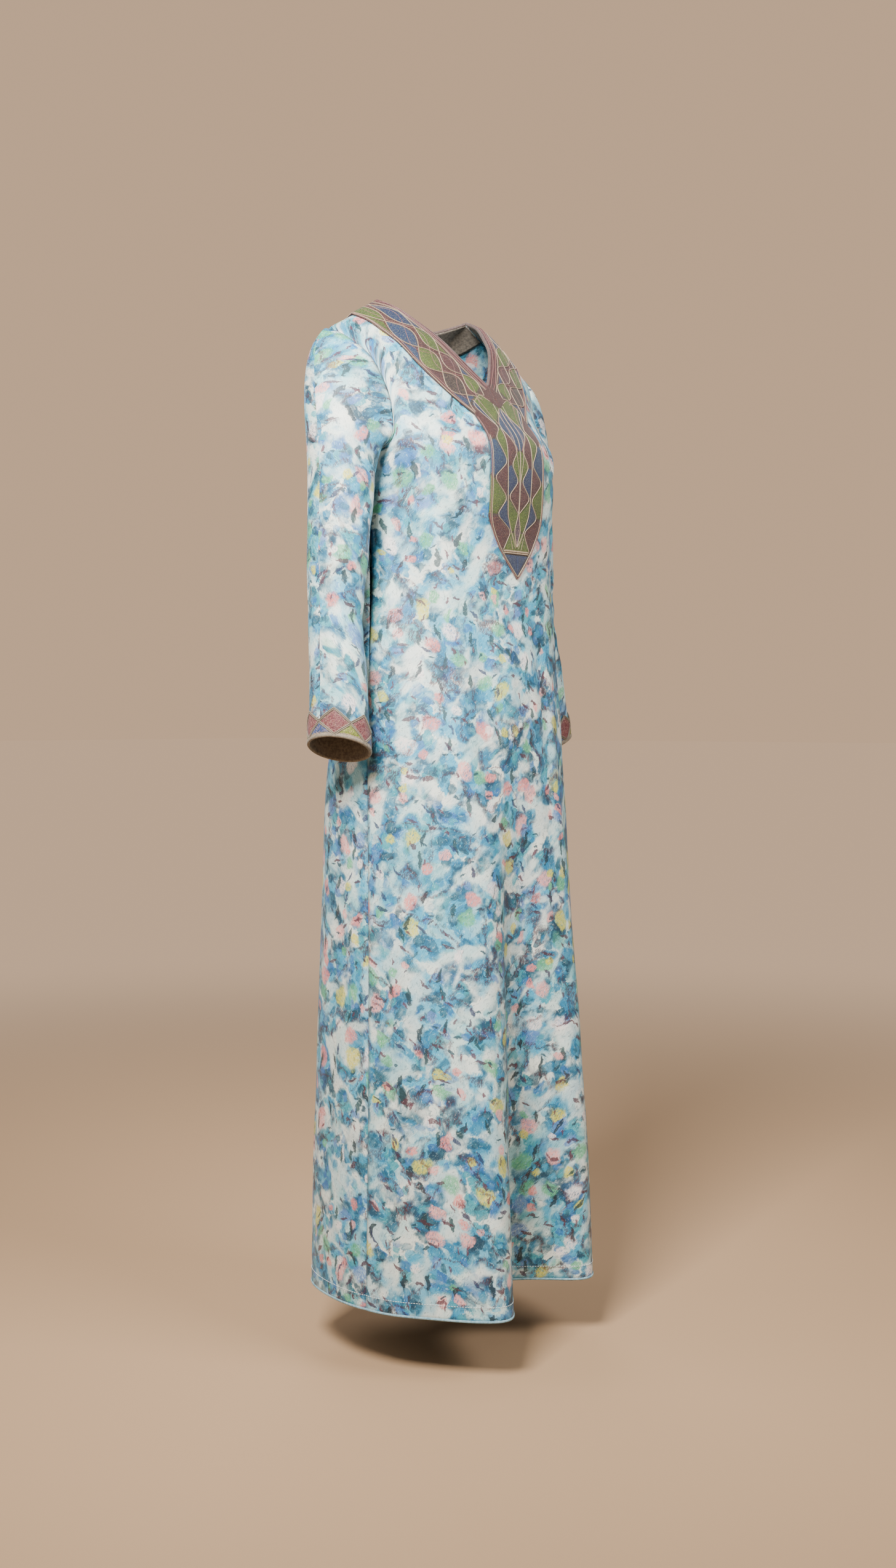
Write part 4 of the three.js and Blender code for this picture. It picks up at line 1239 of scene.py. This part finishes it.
def laid(name, cords, line, place):
    """Both halves' cords as one mesh: line gives a cord's points on the chart, and place puts
    them on the form."""
    tubes, shades = [], []
    for sign in (-1, 1):
        for thread, radius, corners in cords:
            chart = line(sign, corners)
            if chart is not None:
                tubes.append(sweep(*place(sign, chart), radius * CORD_FINE))
                shades.append(thread)
    return bundle(name, tubes, shades)


chest_cords = laid("chest_panel_cords", CHEST_CORDS, chest_line, chest_place)
band_front_cords = laid("neck_band_cords", band_cords(PITCHES), band_line,
                        lambda sign, chart: band_place("front", sign, chart))
band_back_cords = laid("back_band_cords", band_cords(BACK_PITCHES),
                       lambda sign, corners: resample(corners, CORD_STEP),
                       lambda sign, chart: band_place("back", sign, chart))
for piece in (chest_cords, band_front_cords, band_back_cords):
    print(piece.name, len(piece.data.polygons), "faces")


# %% [markdown]
# ## The cuffs
# Six diamonds stand round each wrist on their points, with a triangle between each two, and
# their tips make the trim's zigzag top. The chart is one long strip that is wrapped round the
# sleeve's own surface, so the pattern meets itself at the underarm seam. A taupe binding
# covers the rim.

# %% Points on the sleeve
TURN_STEP, RISE_STEP = 0.01, 0.2


def on_sleeve(name, turn, height, lift):
    """Points of the sleeve at a turn and a height above the wrist, lifted along the normal:
    the cross product of the changes with the turn and with the height."""
    def at(turn, height):
        return ring_point(name, WRIST_Z + height, turn)

    turn, height = np.broadcast_arrays(np.asarray(turn, float), np.asarray(height, float))
    round_way = at(turn + TURN_STEP, height) - at(turn - TURN_STEP, height)
    up_way = at(turn, height + RISE_STEP) - at(turn, height)
    normal = unit(np.cross(round_way, up_way)) * (1 if SLEEVES[name][0] < 0 else -1)
    return at(turn, height) + normal * np.asarray(lift)[..., None], normal


# %% The cuff's chart
LOZENGES, LOZENGE_WIDTH, CUFF_HEIGHT = 6, 41.0, 39.0


def zigzag(q):
    """The trim's height: full at the middle of each lozenge, 0.6 of it between two."""
    return CUFF_HEIGHT * (0.6 + 0.4 * (1 - np.abs(2 * (q % 1) - 1)))


def lozenge(k):
    """The left, middle and right of lozenge k on the chart."""
    return k * LOZENGE_WIDTH, (k + 0.5) * LOZENGE_WIDTH, (k + 1) * LOZENGE_WIDTH


CUFF_CELLS, CUFF_CORDS = [], []
for k in range(-1, LOZENGES + 1):
    left, mid, right = lozenge(k)
    diamond = [(mid, 4.5), (right - 2.6, 20.2), (mid, 35.6), (left + 2.6, 20.2)]
    CUFF_CELLS.append(("rose", diamond))
    triangle = [(left - 15.5, 6), (left + 15.5, 6), (left, 18.2)]
    CUFF_CELLS.append(("lime" if k % 2 else "sky", triangle))
for k in range(LOZENGES):
    left, mid, right = lozenge(k)
    for side in (-1.15, 1.15):  # each outline is a pair of cords
        top, foot = (mid, 38.0 + side * 0.9), (mid, 3.0 + side)
        CUFF_CORDS += [[(left, 21.5 + side), top], [top, (right, 21.5 + side)],
                       [(left + 1, 19.5 + side), foot], [foot, (right - 1, 19.5 + side)]]
print("cuff chart:", len(CUFF_CELLS), "shapes and", len(CUFF_CORDS), "cords")

# %% Cuff trims, cords, bindings and facings
CUFF_LIFT, CUFF_WALL, CUFF_CORD_HALF = 1.7, 1.1, 0.85
CUFF_STEPS, CUFF_LEVELS, ROUND_STEPS = 30, 27, 240
FACING_WALL, CUFF_FACING_LIFT = 0.7, -1.25


def round_sleeve(title, points, normal, wall, threads=None):
    """A closed grid round the wrist as a shell that faces out."""
    flip = np.sum(grid_normals(points, True) * normal) < 0
    uv = flat_uv(points, closed=True)
    return cloth(title, points, wall, closed=True, flip=flip, uv=uv, threads=threads)


cuff_trims, cuff_cords, cuff_bindings, cuff_facings = {}, {}, {}, {}
for name in SLEEVES:
    q = np.arange(LOZENGES * CUFF_STEPS) / CUFF_STEPS
    height = zigzag(q)[None] * np.linspace(1, 0, CUFF_LEVELS)[:, None]
    chart = np.stack(np.broadcast_arrays(q[None] * LOZENGE_WIDTH, height), -1)
    shade, swell = paint(chart, "grey", CUFF_CELLS)
    points, normal = on_sleeve(name, q[None] * 2 * np.pi / LOZENGES, height, CUFF_LIFT + swell)
    cuff_trims[name] = round_sleeve(
        f"cuff_trim_{name}_embroidered", points, normal, CUFF_WALL, shade)
    tubes = []
    for corners in CUFF_CORDS:
        chart = resample(corners, 1.0)
        turn = chart[:, 0] / LOZENGE_WIDTH * 2 * np.pi / LOZENGES
        tubes.append(sweep(*on_sleeve(name, turn, chart[:, 1], CUFF_LIFT + 0.3), CUFF_CORD_HALF))
    cuff_cords[name] = bundle(f"cuff_cords_{name}", tubes, ["grey"] * len(tubes))
    turn = np.linspace(0, 2 * np.pi, ROUND_STEPS, endpoint=False)
    binding = sweep(*on_sleeve(name, turn, 2.0, 0.25), 2.9, sides=12, closed=True, flatten=0.78,
                    twist=0.02)
    cuff_bindings[name] = make_mesh(f"cuff_binding_{name}", *binding)
    height = np.linspace(38, 0.8, 20)[:, None]
    points, normal = on_sleeve(name, turn[None], height, CUFF_FACING_LIFT)
    cuff_facings[name] = round_sleeve(f"cuff_facing_{name}_cloth", points, normal, FACING_WALL)
print("cuff cords:", len(cuff_cords["right"].data.polygons), "faces each")

# %% [markdown]
# ## Facings, neck edge and hem
# Inside the neck a facing backs the trim. Where the trim, the cloth and the facing end
# together, a rolled edge covers them. The hem is turned up inside, held by one row of
# stitches, and its fold rolls a little. All of these are made from the same form, a
# millimetre or two inside it.

# %% Neck facings
FACING_WIDTH, FACING_LIFT = 38.0, -1.3


def facing(face, sign):
    """Half a facing below the cloth: rows beside the neckline, from it to the free edge."""
    s = np.linspace(0, 1, 61)
    (ax, az), (bx, bz) = band_edges(face, FACING_WIDTH, s)
    if face == "front":
        bx, bz = bx - PANEL_HALF * s, lerp(bz, -NECK_DEPTH - 1.25 * FACING_WIDTH, s**2)
    w = np.linspace(0, 1, 15)[None]
    x, z = lerp(ax[:, None], bx[:, None], w), lerp(az[:, None], bz[:, None], w)
    points, normals = on_form(face, sign * x, z, FACING_LIFT)
    return points, normals, np.tile(colour(THREADS["brown"]), x.shape + (1,))


neck_facing_front, neck_facing_back = (
    joined(f"neck_facing_{face}_cloth", [facing(face, -1), facing(face, 1)], FACING_WALL)
    for face in ("front", "back"))
print("front facing:", len(neck_facing_front.data.polygons), "cells")

# %% The rolled neck edge
s = np.linspace(0, 1, 120)
path, outward = [], []
for face, sign, order in (("front", -1, 1), ("front", 1, -1), ("back", 1, 1), ("back", -1, -1)):
    (ax, az), _ = band_edges(face, BAND_WIDTH, s[::order])
    p, n = on_form(face, sign * ax, az, 0.5)
    path.append(p[:-1])
    outward.append(n[:-1])
neck_edge = make_mesh("neck_rolled_edge", *sweep(
    np.concatenate(path), unit(np.concatenate(outward)), 1.9, sides=10, closed=True,
    flatten=1.1, twist=0.03))
print("neck edge:", round(arc_length(np.concatenate(path))[-1]), "mm round")

# %% The turned-up hem
HEM_TURN = 4  # grid rows that it covers
NORMALS = {face: face_normals(face, grid) for face, grid in PANELS.items()}
turn_up = {}
for face, grid in PANELS.items():
    strip = (grid - NORMALS[face] * 1.5)[: HEM_TURN + 1]
    strip = strip + UP * np.linspace(1, 0, HEM_TURN + 1)[:, None, None]
    turn_up[face] = cloth(f"hem_turn_up_{face}", strip, FACING_WALL, flip=FLIP[face],
                          uv=flat_uv(strip, shift=(0.2, 0.5)))


# %% The hem's rolled edge
HEM_POINTS = 420
ring, ring_normal = (
    come_round(np.concatenate([of["front"][0], of["back"][0][::-1][1:-1]]))
    for of in (PANELS, NORMALS))
arc = arc_length(ring)
even = np.linspace(0, arc[-1], HEM_POINTS, endpoint=False)
hem_path, hem_normal = at_lengths(even, arc, ring), unit(at_lengths(even, arc, ring_normal))
hem_edge = make_mesh("hem_rolled_edge", *sweep(
    hem_path + UP * 1.7 - hem_normal * 0.6, hem_normal, 1.8, sides=8, closed=True, flatten=0.95,
    twist=0.04))
print("hem:", round(arc[-1]), "mm round")


# %% Stitches
def stitches(name, points, normal, pitch, length, radius):
    """A row of stitches along a line of points: a short pod of four rings, copied to each
    place by its direction along the line, across it and outwards."""
    arc = arc_length(points)
    at = np.arange(pitch / 2, arc[-1], pitch)
    place = at_lengths(at, arc, points)
    out = unit(at_lengths(at, arc, normal))
    way = unit(at_lengths(at, arc, np.gradient(points, axis=0)))
    side = np.cross(out, way)
    angle = np.linspace(0, 2 * np.pi, 6, endpoint=False)
    t = np.array([-0.5, -0.3, 0.3, 0.5])
    fat = np.array([0.45, 1.0, 1.0, 0.45])
    pod = np.stack([np.repeat(t * length, 6), np.outer(fat, np.cos(angle)).ravel() * radius,
                    np.outer(fat, np.sin(angle)).ravel() * radius], 1)
    points = (place[:, None] + pod[None, :, :1] * way[:, None]
              + pod[None, :, 1:2] * side[:, None] + pod[None, :, 2:] * out[:, None])
    caps = np.array([[3, 2, 1, 0], [5, 4, 3, 0], [18, 19, 20, 21], [18, 21, 22, 23]])
    faces = np.concatenate([grid_cells(4, 6, closed=True), caps])
    faces = (faces[None] + (np.arange(len(place)) * 24)[:, None, None]).reshape(-1, 4)
    return make_mesh(name, points, faces)


hem_stitches = {}
for face, grid in PANELS.items():
    row, row_normal = grid[HEM_TURN - 1], NORMALS[face][HEM_TURN - 1]
    hem_stitches[face] = stitches(
        f"hem_stitches_{face}", row + row_normal * 0.15, row_normal, 3.6, 2.5, 0.42)
print("hem stitches:", sum(len(o.data.polygons) for o in hem_stitches.values()), "faces")

# %% [markdown]
# ## Thread, cord and facing finishes
# Couched thread is matt and full of short bright strokes where the stitches cross the laid
# ground. Noise that is bright only near its middle value draws such worm-like strokes. The
# cords are twisted, so their gloss changes along them, and the facings are a matt cloth.


# %% Embroidery, cord and facing
def embroidered(name, pale, strength, power):
    """Thread colours from the attribute, with pale worm-like stitches over them."""
    f = Finish(name, Sheen_Weight=0.1, Sheen_Roughness=0.5)
    uv = f.flat()
    thread = f.node("ShaderNodeAttribute", {"attribute_name": "threads"}, None, output="Color")
    worm = f.noise(uv, 430.0, 1.5, 0.5, 0.6)
    stroke = (worm - 0.5).math("ABSOLUTE", worm - 0.5).step(0.045, 0.015)
    flecks = f.noise(uv, 620.0, 2.0, 0.6)
    tone = f.noise(uv, 60.0, 2.0, 0.5)
    base = f.mix(tone.step(0.35, 0.65) * 0.25, thread, f.mix(0.55, thread, "1e1a18"))
    base = f.mix(stroke * strength, base, pale)
    base = f.mix(flecks.step(0.46, 0.36) * 0.45, base, "2a2624")
    base = f.deepen(f.mix(flecks.step(0.58, 0.66) * 0.34, base, "e6dfa8"), 1.0 + power)
    height = stroke * 0.7 + flecks * 0.5
    roughness = 0.62 - flecks.step(0.6, 0.72) * 0.25
    return f.wear(Base_Color=base, Roughness=roughness, Metallic=flecks.step(0.64, 0.74) * 0.35,
                  Normal=f.bump(height, 0.0006, 0.8))


def corded():
    """Laid cord: the thread's colour, with a little light and dark along it."""
    f = Finish("laid_cord", Sheen_Weight=0.15)
    place = f.node("ShaderNodeTexCoord", None, None, output="Object")
    thread = f.node("ShaderNodeAttribute", {"attribute_name": "threads"}, None, output="Color")
    fibre = f.noise(place, 1400.0, 2.0, 0.6)
    shade = f.mix(0.5, thread, "2a221e")
    base = f.deepen(f.mix(fibre.step(0.3, 0.7) * 0.4, thread, shade), 1.75)
    bump = f.bump(fibre, 0.0002, 0.5)
    return f.wear(Base_Color=base, Roughness=0.45 + fibre * 0.25, Normal=bump)


def woven(name, light, dark):
    """A matt cloth in two tones of one colour: a coarse noise for slubs, a fine for threads."""
    f = Finish(name, Sheen_Weight=0.12)
    place = f.node("ShaderNodeTexCoord", None, None, output="Object")
    slub = f.noise(place, 300.0, 3.0, 0.6)
    cross = f.noise(place, 1500.0, 1.0, 0.5)
    base = f.mix(slub.step(0.3, 0.7), light, dark)
    bump = f.bump(slub * 0.4 + cross * 0.6, 0.0003, 0.6)
    return f.wear(Base_Color=base, Roughness=0.72 + slub * 0.15, Normal=bump)


NECK_THREAD = embroidered("neck_embroidery", "b09a8e", 0.30, 1.05)
CUFF_THREAD = embroidered("cuff_embroidery", "d9bdb2", 0.62, 0.75)
CORD = corded()
FACING = woven("facing_weave", "7b7062", "554c43")
BINDING = woven("taupe_binding", "857864", "63594c")
HEM_ROLL = woven("hem_roll", "5c8798", "93b2ba")
STITCH = woven("hem_thread", "dfe4e0", "aebfc4")
NECK_ROLL = woven("neck_roll", "5a4540", "3a2f2b")
print("finishes:", len(bpy.data.materials))

# %% Dressing the neck
for piece in (chest_cords, band_front_cords, band_back_cords):
    trim_on(piece, CORD)
trim_on(neck_edge, NECK_ROLL)
dress(neck_trim_front, "neck_trim_front", NECK_THREAD)
dress(neck_trim_back, "neck_trim_back", NECK_THREAD)
dress(neck_facing_front, "neck_facing_front", FACING)
dress(neck_facing_back, "neck_facing_back", FACING)


# %% Dressing the cuffs and the hem
for name in SLEEVES:
    trim_on(cuff_cords[name], CORD)
    trim_on(cuff_bindings[name], BINDING)
    dress(cuff_trims[name], f"cuff_trim_{name}", CUFF_THREAD)
    dress(cuff_facings[name], f"cuff_facing_{name}", FACING)
for face in PANELS:
    trim_on(hem_stitches[face], STITCH)
    dress(turn_up[face], None, PRINTED)
trim_on(hem_edge, HEM_ROLL)

# %% [markdown]
# ## The floor
# The garment hangs over a pale paper floor. Near it the paper takes its soft shade, and further
# off it glows in the backdrop's tone, so that no horizon shows. The floor is a stage for the
# garment and no part of it.

# %% Studio floor
FLOOR_DROP, REACH = 85.0, 60000.0  # how far it is below the hem, and half its width
PAPER, BLACK = "b3906d", (0.0, 0.0, 0.0, 1.0)
corners = np.array([[-REACH, -REACH, 0], [REACH, -REACH, 0], [REACH, REACH, 0], [-REACH, REACH, 0]])
corners[:, 2] = HEM_Z - FLOOR_DROP
floor = make_mesh("studio_floor", corners, np.array([[0, 1, 2, 3]]))
paper = Finish("floor_paper", Roughness=0.9, Emission_Strength=1.0)
place = paper.node("ShaderNodeTexCoord", None, None, output="Object")
x, y = paper.apart(place)
far = ((x * x + y * y) ** 0.5).step(0.9, 4.2)  # metres from the garment
floor.data.materials.append(paper.wear(
    Base_Color=paper.mix(far, PAPER, BLACK), Emission_Color=paper.mix(far, BLACK, BACKDROP)))
print("floor:", round(2 * REACH * MM), "m wide")
